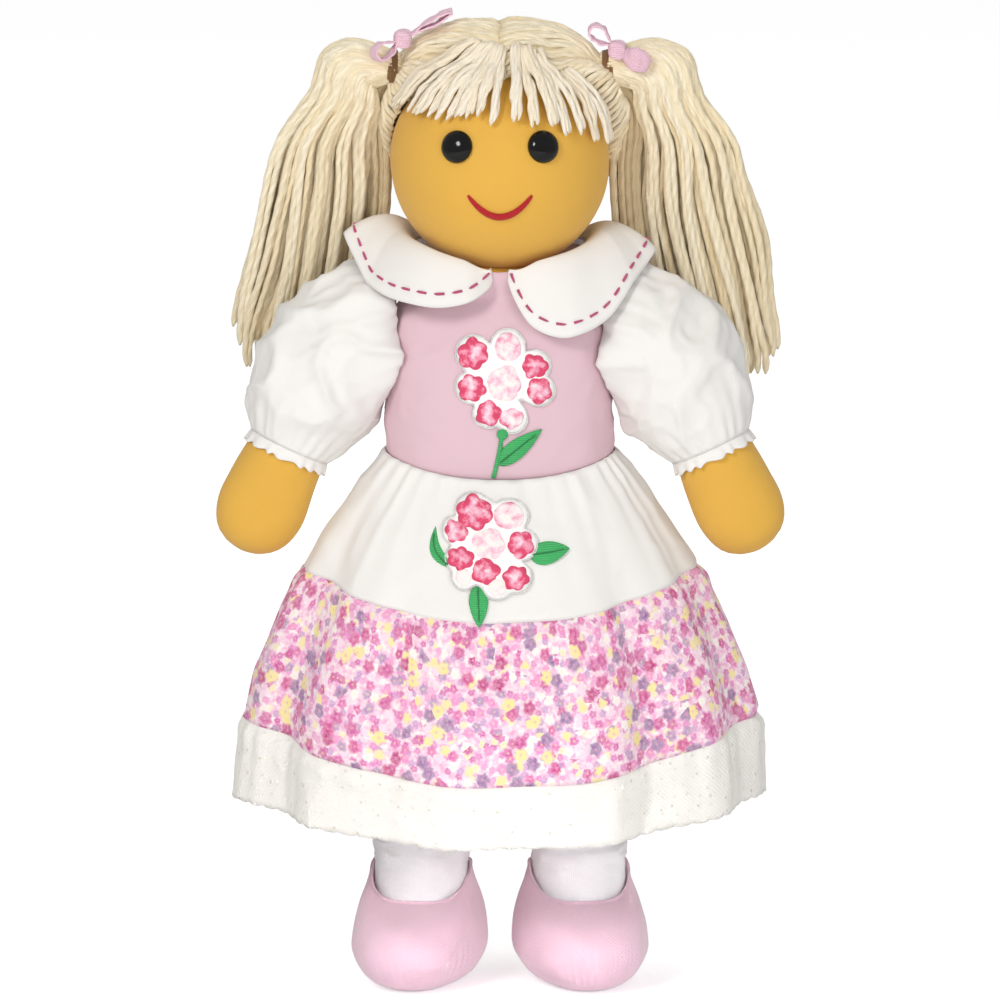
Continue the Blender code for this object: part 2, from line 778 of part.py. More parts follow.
def make_bodice(carrier):
    """Front and back panels, sewn at the sides and shoulders, with an armhole at each side."""
    rows, columns = 9, 12
    radius = ARMHOLE_RADIUS - 2 * CLOTH
    side_x = BODY_HALF_WIDTH + OVERRUN
    cutters = []
    for side, word in ((1, "left"), (-1, "right")):
        outline = ((-2 * OVERRUN, radius), (OVERRUN, radius))
        place = (side * side_x, 0, armhole_z())
        shape = turned(outline, place, (side, 0, 0), POINTS_ROUND)
        cutters.append(add_piece(f"armhole_{word}", shape, "pink_linen", carrier))
    seam = math.degrees(GAP / BODY_HALF_DEPTH) / 2
    for word, turn in (("front", 180.0), ("back", 0.0)):
        outer, inner = [], []
        for j in range(rows + 1):
            outer_row, inner_row = [], []
            for i in range(columns + 1):
                angle = math.radians(turn + seam + (180.0 - 2 * seam) * i / columns)
                share = bodice_share(j / rows, angle)
                outer_row.append(body_point(angle, share, EASE + CLOTH))
                inner_row.append(body_point(angle, share, EASE))
            outer.append(outer_row)
            inner.append(inner_row)
        outer_row, inner_row = [], []
        for i in range(columns + 1):
            angle = math.radians(turn + seam + (180.0 - 2 * seam) * i / columns)
            edge = neckline(angle) - Vector((0, 0, 3 * GAP))
            outer_row.append(edge)
            inner_row.append(edge - CLOTH * Vector((edge.x, edge.y, 0)).normalized())
        outer.append(outer_row)
        inner.append(inner_row)
        panel = add_piece(f"bodice_{word}", sheet(outer, inner), "pink_linen", carrier)
        for cutter in cutters:
            cut(panel, cutter)
    front, back = [], []
    half_angle = PLACKET_WIDTH / 2 / BODY_HALF_DEPTH / 2
    for j in range(rows + 1):
        front_row, back_row = [], []
        for i in (-1, 0, 1):
            angle = math.pi / 2 + i * half_angle
            share = bodice_share(0.01 + 0.92 * j / rows, angle)
            front_row.append(body_point(angle, share, EASE + 2 * CLOTH + 2 * GAP))
            back_row.append(body_point(angle, share, EASE + CLOTH + 2 * GAP))
        front.append(front_row)
        back.append(back_row)
    add_piece("back_placket", sheet(front, back), "pink_linen", carrier)


def make_collar(side, word, carrier):
    """One rounded leaf, from the centre front over the shoulder to the centre back."""
    base_z = BODY_TOP_Z + EASE + CLOTH + 3 * GAP
    columns, rows = 20, 4
    upper, lower = [], []
    drop = COLLAR_DROP * (1.0 if side > 0 else COLLAR_RIGHT_DROP_SHARE)
    lift = COLLAR_LIFT * (1.0 if side > 0 else COLLAR_RIGHT_LIFT_SHARE)
    count = len(COLLAR_SHARES) - 1
    table = [(i / count, *row) for i, row in enumerate(COLLAR_SHARES)]
    for j in range(rows + 1):
        upper_row, lower_row = [], []
        for i in range(columns + 1):
            share = i / columns
            angle = math.radians((90.0 - COLLAR_SPLIT) * (2 * share - 1))
            x, y, height = blended(table, share)
            inner = neckline(angle)
            outer = Vector(
                (
                    x * COLLAR_HALF_WIDTH,
                    y * COLLAR_HALF_DEPTH,
                    base_z + height * (lift if height > 0 else drop),
                )
            )
            v = j / rows
            place = inner.lerp(outer, v)
            roll = COLLAR_FRONT_ROLL + (COLLAR_ROLL - COLLAR_FRONT_ROLL) * math.cos(angle) ** 2
            place.z += roll * 4 * v * (1 - v) * (1.25 - 0.5 * v)
            upper_row.append(Vector((side * place.x, place.y, place.z + CLOTH)))
            lower_row.append(Vector((side * place.x, place.y, place.z)))
        upper.append(upper_row)
        lower.append(lower_row)
    add_piece(f"collar_{word}", sheet(upper, lower), "white_cotton", carrier)


def arm_axis(side):
    out, forward = math.radians(ARM_OUT_ANGLE), math.radians(ARM_FORWARD_ANGLE)
    return Vector(
        (side * math.sin(out), -math.sin(forward) * math.cos(out), -math.cos(out) * math.cos(forward))
    ).normalized()


def tab_inner_x():
    return body_profile(share_at_height(SHOULDER_Z - TAB_RADIUS))[1] + GAP


def arm_pivot(side):
    x = tab_inner_x() + TAB_LENGTH + GAP + ARM_TOP_RADIUS
    return Vector((side * x, 0, SHOULDER_Z))


def arm_section(side):
    """Half-size directions of the arm: in the plane of the doll, and front to back."""
    axis = arm_axis(side)
    depth = Vector((0, 1, 0)) - axis.y * axis
    depth.normalize()
    return axis.cross(depth).normalized(), depth


def make_arm(side, word, shoulder_carrier, arm_carrier):
    outline = [(0.0, 0.86 * TAB_RADIUS), (0.25 * TAB_LENGTH, TAB_RADIUS)]
    outline += [(0.75 * TAB_LENGTH, TAB_RADIUS), (TAB_LENGTH, 0.86 * TAB_RADIUS)]
    place = (side * tab_inner_x(), 0, SHOULDER_Z)
    tab = turned(outline, place, (side, 0, 0), FEW_POINTS_ROUND)
    add_piece(f"shoulder_tab_{word}", tab, "calico", shoulder_carrier)
    start, axis = arm_pivot(side), arm_axis(side)
    across, depth = arm_section(side)
    rings = []
    for polar in (160.0, 135.0, 110.0, 88.0):
        b = math.radians(polar)
        radius = ARM_TOP_RADIUS * math.sin(b)
        at = start + ARM_TOP_RADIUS * math.cos(b) * axis
        rings.append(ring(at, radius * across, radius * depth, FEW_POINTS_ROUND))
    for share, size in ARM_SHARES:
        radius = size * WRIST_RADIUS
        at = start + share * ARM_LENGTH * axis
        rings.append(ring(at, radius * across, radius * depth, FEW_POINTS_ROUND))
    for share, size in HAND_SHARES:
        radius = size * HAND_RADIUS
        flat = 1 - (1 - HAND_FLATNESS_SHARE) * smooth((share - WRIST_AT / ARM_LENGTH) / 0.2)
        at = start + share * ARM_LENGTH * axis
        rings.append(ring(at, radius * across, flat * radius * depth, FEW_POINTS_ROUND))
    add_piece(f"arm_{word}", loft(rings), "skin", arm_carrier)


def sleeve_ring(side, share, radius, count):
    """Ring of the sleeve, whose plane turns from the armhole's to the wrist's."""
    bodice = BODY_HALF_WIDTH + EASE + CLOTH
    armhole = Vector((side * (bodice + GAP), 0, armhole_z()))
    cuff = arm_pivot(side) + WRIST_AT * arm_axis(side)
    corner = armhole + Vector((side * SLEEVE_CORNER_X, 0, -SLEEVE_CORNER_Z))
    rest = 1 - share
    centre = rest * rest * armhole + 2 * share * rest * corner + share * share * cuff
    turn = smooth(share) ** 0.8
    down = math.radians((90.0 - ARM_OUT_ANGLE) * turn)
    across, depth = arm_section(side)
    across = Vector((side * math.sin(down), 0, math.cos(down))).lerp(
        across if across.z > 0 else -across, smooth((share - 0.7) / 0.3)
    )
    depth = Vector((0, 1, 0)).lerp(depth, smooth((share - 0.7) / 0.3))
    across.normalize()
    depth = (depth - depth.dot(across) * across).normalized()
    flat = 1 - (1 - PUFF_DEPTH_SHARE) * math.sin(math.pi * share)
    return ring(centre, radius * across, flat * radius * depth, count)


def make_sleeve(side, word, carrier, arm_carrier):
    end = WRIST_RADIUS + 2 * GAP + CLOTH
    stations = [(0.0, ARMHOLE_RADIUS)]
    stations += [(share, size * PUFF_RADIUS) for share, size in SLEEVE_SHARES]
    stations.append((1.0, end))
    outer = [sleeve_ring(side, share, radius, FEW_POINTS_ROUND) for share, radius in stations]
    inner = [
        sleeve_ring(side, share, radius - CLOTH, FEW_POINTS_ROUND)
        for share, radius in reversed(stations)
    ]
    add_piece(f"sleeve_{word}", loft(outer + inner, joined=True), "white_cotton", carrier)
    start, axis = arm_pivot(side), arm_axis(side)
    across, depth = arm_section(side)
    rings = []
    outline = (
        (2 * GAP, end),
        (FRILL_LENGTH, end + FRILL_FLARE),
        (FRILL_LENGTH, end + FRILL_FLARE - CLOTH),
        (2 * GAP, end - CLOTH),
    )
    for distance, radius in outline:
        at = start + (WRIST_AT + distance) * axis
        rings.append(ring(at, radius * across, radius * depth, FEW_POINTS_ROUND))
    add_piece(f"cuff_frill_{word}", loft(rings, joined=True), "white_cotton", arm_carrier)


def tier_share(angle, side_share, front_share):
    return side_share + front_share * oval(angle)[1] ** 2


def make_skirt(carrier):
    """Three gathered tiers: white cotton, printed cotton, and a scalloped white trim."""
    upper = (UPPER_TIER_SHARE, UPPER_TIER_FRONT_SHARE)
    floral = (FLORAL_TIER_SHARE, FLORAL_TIER_FRONT_SHARE)
    tiers = (
        ("skirt_upper", (0.0, 0.0), upper, 4, "white_cotton"),
        ("skirt_floral", upper, floral, 4, "floral_print"),
        ("skirt_trim", floral, (1.0, 0.0), 2, "white_cotton"),
    )
    seam = 2 * GAP / SKIRT_LENGTH
    for name, top, bottom, steps, finish in tiers:
        outer, inner = [], []
        for j in range(steps + 1):
            outer_ring, inner_ring = [], []
            for i in range(SKIRT_POINTS):
                angle = 2 * math.pi * (i + 0.5) / SKIRT_POINTS
                low, high = tier_share(angle, *top) + seam, tier_share(angle, *bottom)
                share = low + (high - low) * j / steps
                outer_ring.append(skirt_point(angle, share))
                inner_ring.append(skirt_point(angle, share, -CLOTH))
            outer.append(outer_ring)
            inner.append(inner_ring)
        add_piece(name, loft(outer + list(reversed(inner)), joined=True), finish, carrier)


def patch(name, finish, carrier, surface, outline, lift):
    """Applique cut to an outline, which follows the cloth under it. The outline is in its plane."""
    front, back = [], []
    middle = sum((Vector(p) for p in outline), Vector((0, 0))) / len(outline)
    for scale in (0.5, 1.0):
        points = [middle + scale * (Vector(p) - middle) for p in outline]
        front.append([surface(p.x, p.y, lift + PATCH) for p in points])
        back.append([surface(p.x, p.y, lift) for p in points])
    shape = loft([front[0], front[1], back[1], back[0]])
    add_piece(name, shape, finish, carrier)


def flower_outline():
    points = []
    for i in range(6 * FLOWER_SCALLOPS):
        angle = 2 * math.pi * i / (6 * FLOWER_SCALLOPS)
        radius = FLOWER_RADIUS + FLOWER_SCALLOP * (abs(math.cos(FLOWER_SCALLOPS * angle / 2)) - 0.6)
        points.append((radius * math.cos(angle), radius * math.sin(angle)))
    return points


def leaf_outline(x, y, direction, length, width):
    """Pointed oval that starts at a place and runs in a direction, in degrees."""
    points = []
    a = math.radians(direction)
    for i in range(14):
        u = i / 7 if i <= 7 else (14 - i) / 7
        side = 1 if i <= 7 else -1
        along = length * u
        across = side * width / 2 * math.sin(math.pi * u**0.85)
        points.append(
            (
                x + along * math.cos(a) - across * math.sin(a),
                y + along * math.sin(a) + across * math.cos(a),
            )
        )
    return points


def make_flowers(carrier):
    """A flower on the bodice with a stem and a leaf, and a flower with three leaves on the skirt."""
    front = 1.5 * math.pi
    waist = WAIST_Z - WAIST_DIP
    flower_z = waist + UPPER_FLOWER_SHARE * (BODY_TOP_Z - waist)

    def on_bodice(x, y, out):
        x += UPPER_FLOWER_X
        share = share_at_height(flower_z + y)
        half_width = body_profile(share)[1]
        level = min(abs(x) / half_width, 1.0) ** (BODY_ROUNDNESS / 2)
        angle = front + math.copysign(math.asin(level), x)
        return body_point(angle, share, EASE + CLOTH + out)

    def on_skirt(x, y, out):
        x += LOWER_FLOWER_X
        share = (LOWER_FLOWER_DROP - y) / (SKIRT_LENGTH + SKIRT_FRONT_EXTRA)
        middle = skirt_point(front, share)
        return skirt_point(front + x / abs(middle.y) * 0.72, share, out)

    # The bodice is smooth under its flower, but the gathered skirt needs a little more room
    lift = 2 * GAP
    skirt_lift = 3 * GAP
    patch("flower_upper", "flower_pink", carrier, on_bodice, flower_outline(), lift)
    edge = -FLOWER_RADIUS - FLOWER_SCALLOP
    # The stem runs down to the waist seam
    stem_length = flower_z + edge - waist - 2 * EASE
    stem = (
        (-STEM_WIDTH / 2, edge),
        (STEM_WIDTH / 2, edge),
        (-STEM_WIDTH / 2, edge - stem_length / 2),
        (-STEM_WIDTH, edge - stem_length),
        (-2 * STEM_WIDTH, edge - stem_length),
        (-1.5 * STEM_WIDTH, edge - stem_length / 2),
    )
    patch("stem_upper", "leaf_green", carrier, on_bodice, stem, lift)
    leaf = leaf_outline(STEM_WIDTH, edge - stem_length * 0.8, 34.0, LEAF_LENGTH, LEAF_WIDTH)
    patch("leaf_upper", "leaf_green", carrier, on_bodice, leaf, lift)
    patch("flower_lower", "flower_pink", carrier, on_skirt, flower_outline(), skirt_lift)
    around = FLOWER_RADIUS + FLOWER_SCALLOP
    for word, turn, direction in (("a", 165.0, 140.0), ("b", -5.0, 12.0), ("c", -98.0, -84.0)):
        a = math.radians(turn)
        x, y = around * math.cos(a), around * math.sin(a)
        leaf = leaf_outline(x, y, direction, 0.8 * LEAF_LENGTH, LEAF_WIDTH)
        patch(f"leaf_lower_{word}", "leaf_green", carrier, on_skirt, leaf, skirt_lift)


def make_hips(hip_carrier, body_carrier):
    """The hip band, rounded along its top edge on the fold, and the knickers' seat."""
    half = BAND_THICKNESS / 2
    low_z = LEG_LENGTH
    high_z = SEAT_Z
    rows = []
    for polar in (90.0, 60.0, 30.0, 0.0, -30.0, -60.0, -90.0):
        a = math.radians(polar)
        rows.append((half * math.sin(a), high_z + (half * math.cos(a))))
    for polar in (-90.0, -60.0, -30.0, 0.0, 30.0, 60.0, 90.0):
        a = math.radians(polar)
        rows.append((half * math.sin(a), low_z - (half * math.cos(a))))
    rings = []
    for x in (-BAND_HALF_WIDTH, BAND_HALF_WIDTH):
        rings.append([Vector((x, y, z)) for y, z in rows])
    add_piece("hip_band", loft(rings), "calico", hip_carrier)
    outer, inner = [], []
    top, bottom = SEAT_Z + KNICKERS_TOP, SEAT_Z - KNICKERS_BOTTOM
    for share, puff in ((0.0, 0.0), (0.3, 0.7), (0.65, 1.0), (1.0, 0.6)):
        z = top + (bottom - top) * share
        at = max(share_at_height(z), share_at_height(top) - KNICKERS_NARROWING_SHARE)
        half_width, half_depth = body_profile(at)[1:]
        half_width += EASE + CLOTH + puff * KNICKERS_PUFF
        half_depth += EASE + CLOTH + puff * KNICKERS_PUFF
        outer.append(level_ring(0, 0, z, half_width, half_depth, POINTS_ROUND, BODY_ROUNDNESS))
        half_width -= CLOTH
        half_depth -= CLOTH
        inner.append(level_ring(0, 0, z, half_width, half_depth, POINTS_ROUND, BODY_ROUNDNESS))
    shape = loft(outer + list(reversed(inner)), joined=True)
    add_piece("knickers_seat", shape, "white_cotton", body_carrier)


def leg_centre_x(z):
    """The legs spread a little from the hip band to the ankles."""
    return LEG_TOP_X + (ANKLE_X - LEG_TOP_X) * smooth((LEG_LENGTH - z) / (0.75 * LEG_LENGTH))


def make_leg(side, word, carrier):
    rings = []
    top = LEG_LENGTH - BAND_THICKNESS / 2 - GAP
    for share, width, depth in LEG_SHARES:
        z = top - share * LEG_LENGTH
        x = side * leg_centre_x(z)
        rings.append(
            level_ring(x, 0, z, width * LEG_HALF_WIDTH, depth * LEG_HALF_WIDTH, FEW_POINTS_ROUND)
        )
    for z, size in ((SOCK_TOP, 1.0), (2.2 * HEEL_LIFT, 1.0), (1.4 * HEEL_LIFT, 0.93), (HEEL_LIFT, 0.78)):
        radius = size * LEG_RADIUS
        rings.append(level_ring(side * leg_centre_x(z), 0, z, radius, radius, FEW_POINTS_ROUND))
    add_piece(f"leg_{word}", loft(rings), "skin", carrier)
    outer, inner = [], []
    for z in (SOCK_TOP, 0.55 * SOCK_TOP, SOCK_BOTTOM):
        x = side * leg_centre_x(z)
        size = LEG_RADIUS + 2 * GAP
        inner.append(level_ring(x, 0, z, size, size, FEW_POINTS_ROUND))
        size += CLOTH
        outer.append(level_ring(x, 0, z, size, size, FEW_POINTS_ROUND))
    shape = loft(outer + list(reversed(inner)), joined=True)
    add_piece(f"sock_{word}", shape, "white_cotton", carrier)
    outer, inner = [], []
    for share, puff in ((0.0, 0.4), (0.35, 1.0), (0.8, 0.8), (1.0, 0.0)):
        z = LEG_LENGTH - KNICKERS_LEG_TOP - share * (KNICKERS_LEG_BOTTOM - KNICKERS_LEG_TOP)
        x = side * leg_centre_x(z)
        width = 1.02 * LEG_HALF_WIDTH + 2 * GAP + puff * KNICKERS_PUFF * 0.4
        depth = LEG_HALF_WIDTH + 2 * GAP + puff * KNICKERS_PUFF
        inner.append(level_ring(x, 0, z, width, depth, FEW_POINTS_ROUND))
        outer.append(level_ring(x, 0, z, width + CLOTH, depth + CLOTH, FEW_POINTS_ROUND))
    shape = loft(outer + list(reversed(inner)), joined=True)
    add_piece(f"knickers_leg_{word}", shape, "white_cotton", carrier)


def make_shoe(side, word, carrier):
    """Soft shoe with a round toe and a low throat, open down to the foot inside."""
    spread = Matrix.Rotation(math.radians(side * SHOE_SPLAY), 3, "Z")
    ankle = Vector((side * ANKLE_X, 0, 0))
    opening = LEG_RADIUS + 2 * GAP + CLOTH + 2 * GAP
    count = 24

    def shoe_ring(height, front, back, half_width, throat):
        points = []
        for i in range(count):
            angle = 2 * math.pi * i / count
            x, y = oval(angle, 2.2)
            y *= back if y > 0 else front
            fall = throat * smooth((0.35 - math.sin(angle)) / 1.35)
            points.append(ankle + spread @ Vector((x * half_width, y, height - fall)))
        return points

    rings = []
    for height, front, back, width in SHOE_SHARES:
        rings.append(
            shoe_ring(
                height * SHOE_HEEL_HEIGHT,
                front * SHOE_FRONT,
                back * SHOE_BACK,
                width * SHOE_HALF_WIDTH,
                SHOE_THROAT_DROP * height**2,
            )
        )
    wall = opening + CLOTH
    rings.append(shoe_ring(SHOE_HEEL_HEIGHT, wall, wall, wall, SHOE_THROAT_DROP))
    rings.append(shoe_ring(SHOE_HEEL_HEIGHT, opening, opening, opening, SHOE_THROAT_DROP))
    floor = HEEL_LIFT - GAP
    rings.append(shoe_ring(floor, opening, opening, opening, 0.0))
    add_piece(f"shoe_{word}", loft(rings), "shoe_pink", carrier)


def main():
    clear_scene()
    body = pivot("body_pivot", (0, 0, 0))
    neck = pivot("neck_pivot", (0, 0, BODY_TOP_Z), body)
    head = pivot("head_pivot", (0, 0, NECK_Z), neck)
    hips = pivot("hip_pivot", (0, 0, SEAT_Z), body)
    make_body(body)
    make_neck(neck)
    make_head(head)
    make_eyes(head)
    make_mouth(head)
    make_hair(head)
    make_bodice(body)
    make_skirt(body)
    make_flowers(body)
    make_hips(hips, body)
    for side, word in ((1, "left"), (-1, "right")):
        tie = pivot(f"tie_pivot_{word}", (0, TIE_BACK, TIE_Z), head)
        hair = pivot(f"pigtail_pivot_{word}", pigtail_pivot(side), tie)
        shoulder = pivot(f"shoulder_pivot_{word}", (0, 0, SHOULDER_Z), body)
        arm = pivot(f"arm_pivot_{word}", arm_pivot(side), shoulder)
        leg = pivot(f"leg_pivot_{word}", (side * LEG_TOP_X, 0, LEG_LENGTH), hips)
        make_pigtail(side, word, tie, hair)
        make_bow(side, word, tie)
        make_collar(side, word, body)
        make_arm(side, word, shoulder, arm)
        make_sleeve(side, word, shoulder, arm)
        make_leg(side, word, leg)
        make_shoe(side, word, leg)


main()
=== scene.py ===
"""Looks of a stuffed rag doll in a puff-sleeved dress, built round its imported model.

Lengths are metres and angles degrees. The doll faces -Y and its own left is +X. Cloth is laid out in
real sizes, so that threads and stitches keep their spacing, and the hair is made strand by strand.
"""

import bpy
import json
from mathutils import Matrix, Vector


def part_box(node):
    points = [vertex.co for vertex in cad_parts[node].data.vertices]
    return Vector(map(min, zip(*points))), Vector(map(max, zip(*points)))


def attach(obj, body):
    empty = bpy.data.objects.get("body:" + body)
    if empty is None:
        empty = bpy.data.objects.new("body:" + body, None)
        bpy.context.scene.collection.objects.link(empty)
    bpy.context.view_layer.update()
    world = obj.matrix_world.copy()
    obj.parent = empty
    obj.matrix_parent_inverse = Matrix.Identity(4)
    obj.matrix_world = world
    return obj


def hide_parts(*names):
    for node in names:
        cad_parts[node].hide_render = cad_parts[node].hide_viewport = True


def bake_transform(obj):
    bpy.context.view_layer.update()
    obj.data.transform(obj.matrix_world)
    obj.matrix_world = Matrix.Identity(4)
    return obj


bl_info = {
    "name": "Rag Doll",
    "version": (1, 0, 0),
    "blender": (4, 5, 0),
    "location": "View3D > Sidebar > Rag Doll",
    "description": "Cloth, hair and stage of a stuffed rag doll",
    "category": "Add Mesh",
}

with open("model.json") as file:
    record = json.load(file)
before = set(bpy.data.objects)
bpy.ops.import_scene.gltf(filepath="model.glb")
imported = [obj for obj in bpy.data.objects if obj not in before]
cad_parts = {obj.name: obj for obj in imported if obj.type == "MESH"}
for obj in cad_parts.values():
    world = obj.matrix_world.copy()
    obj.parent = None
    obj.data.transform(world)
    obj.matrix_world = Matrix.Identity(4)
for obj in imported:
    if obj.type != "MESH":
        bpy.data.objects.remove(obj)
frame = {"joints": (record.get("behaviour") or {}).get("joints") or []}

import functools
import json
import random
from math import acos, asin, atan2, copysign, cos, degrees, exp, hypot, pi, radians, sin, sqrt

import bpy
from mathutils import Matrix, Vector, noise

SIDES = ((1, "left"), (-1, "right"))
PIVOTS = {joint["name"]: Vector(joint["pos_m"]) for joint in frame["joints"] if "pos_m" in joint}
HEAD_PIVOT = PIVOTS["head_nod"]
HIP_PIVOT = PIVOTS["hips_sit"]
BODY_LOW, BODY_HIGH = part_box("body")
TIE_CENTRE = PIVOTS["pigtail_left_swing"]

# Height, width and depth of the body as shares of its own, from the hip seam to the neck
BODY_SHARES = (
    (0.00, 0.93, 0.08), (0.10, 0.98, 0.33), (0.22, 1.00, 0.70), (0.38, 0.985, 0.95), (0.55, 0.97, 1.00),
    (0.74, 0.975, 0.96), (0.87, 0.95, 0.84), (0.955, 0.80, 0.68), (1.00, 0.52, 0.56),
)
WRIST_SHARE = 0.562  # distance of the cuff down the arm
# Distance down the arm and its radius, the radius as a share of the wrist's
ARM_SHARES = ((0.0, 0.76), (0.10, 0.84), (0.24, 0.92), (0.40, 0.98), (WRIST_SHARE, 1.00))
# The same for the hand, its radius as a share of the hand's
HAND_SHARES = (
    (WRIST_SHARE, 0.87), (0.64, 0.925), (0.74, 0.985), (0.83, 1.00), (0.90, 0.91), (0.955, 0.70),
    (0.985, 0.42),
)
# Distance down the leg, half width and half depth as shares of its own
LEG_SHARES = (
    (0.000, 0.97, 0.12), (0.075, 1.00, 0.46), (0.160, 1.02, 0.80), (0.250, 1.01, 0.95),
    (0.400, 1.00, 1.00), (0.520, 0.96, 0.96), (0.900, 0.92, 0.92),
)
# Drop, reach outwards, reach backwards, half width and half depth of a bunch of hair
BUNCH_SHARES = (
    (0.105, 0.25, 0.08, 0.58, 0.70), (0.225, 0.50, 0.24, 0.79, 0.90), (0.40, 0.58, 0.48, 0.945, 1.00),
    (0.60, 0.72, 0.74, 1.00, 1.00), (0.78, 0.88, 0.93, 0.98, 0.98), (0.91, 1.00, 1.00, 0.89, 0.86),
    (1.00, 0.98, 1.04, 0.80, 0.70),
)
# Along the sleeve, its radius as a share of the puff's
SLEEVE_SHARES = (
    (0.0, 0.82), (0.14, 0.97), (0.32, 1.04), (0.52, 1.05), (0.70, 0.98), (0.86, 0.84), (1.0, 0.64),
)
# Height, front, back and half width of the shoe as shares of its own
SHOE_SHARES = (
    (0.00, 0.70, 0.78, 0.55), (0.04, 0.82, 0.86, 0.70), (0.10, 0.92, 0.93, 0.83),
    (0.28, 1.00, 1.00, 1.00), (0.50, 0.985, 1.00, 0.995), (0.70, 0.86, 0.98, 0.92),
    (0.86, 0.63, 0.945, 0.82), (1.00, 0.417, 0.904, 0.764),
)
# Outer edge of a collar leaf from the front to the back: sideways, depth and height as shares
COLLAR_SHARES = (
    (0.03, -0.64, 0.30), (0.085, -0.78, -0.24), (0.20, -0.93, -0.83), (0.37, -0.98, -1.10),
    (0.52, -0.96, -1.02), (0.70, -0.78, -0.72), (0.83, -0.56, -0.18), (0.94, -0.24, 0.48),
    (1.01, 0.06, 1.00), (0.90, 0.42, 0.53), (0.69, 0.72, -0.14), (0.36, 0.95, -0.42), (0.05, 0.98, -0.46),
)

MILLIMETRE = 0.001
NECK_STEM = 0.76  # radius of the neck under its ball, as a share of the ball's
BODY_SQUARENESS = 2.3  # 2 would be an oval
ANKLE_RADIUS = 0.0185
FOOT_ROOM = 0.0011  # between the sock and the shoe's opening
CAMERA_DISTANCE = 12.0
PIXEL = 0.43 * MILLIMETRE  # width of a picture's pixel at the doll


def length(label, default, text):
    """A size that a user may change, in metres."""
    return bpy.props.FloatProperty(
        name=label, description=text, default=default, min=0.0, precision=4, unit="LENGTH"
    )


def linear(colour):
    """Linear red, green and blue of an sRGB hex colour."""
    parts = [int(colour[i : i + 2], 16) / 255 for i in (1, 3, 5)]
    return tuple(p / 12.92 if p <= 0.04045 else ((p + 0.055) / 1.055) ** 2.4 for p in parts)


def dye(label, default, text):
    """A colour that a user may change, given as sRGB hex."""
    return bpy.props.FloatVectorProperty(
        name=label, description=text, default=linear(default), size=3, min=0.0, max=1.0, subtype="COLOR"
    )


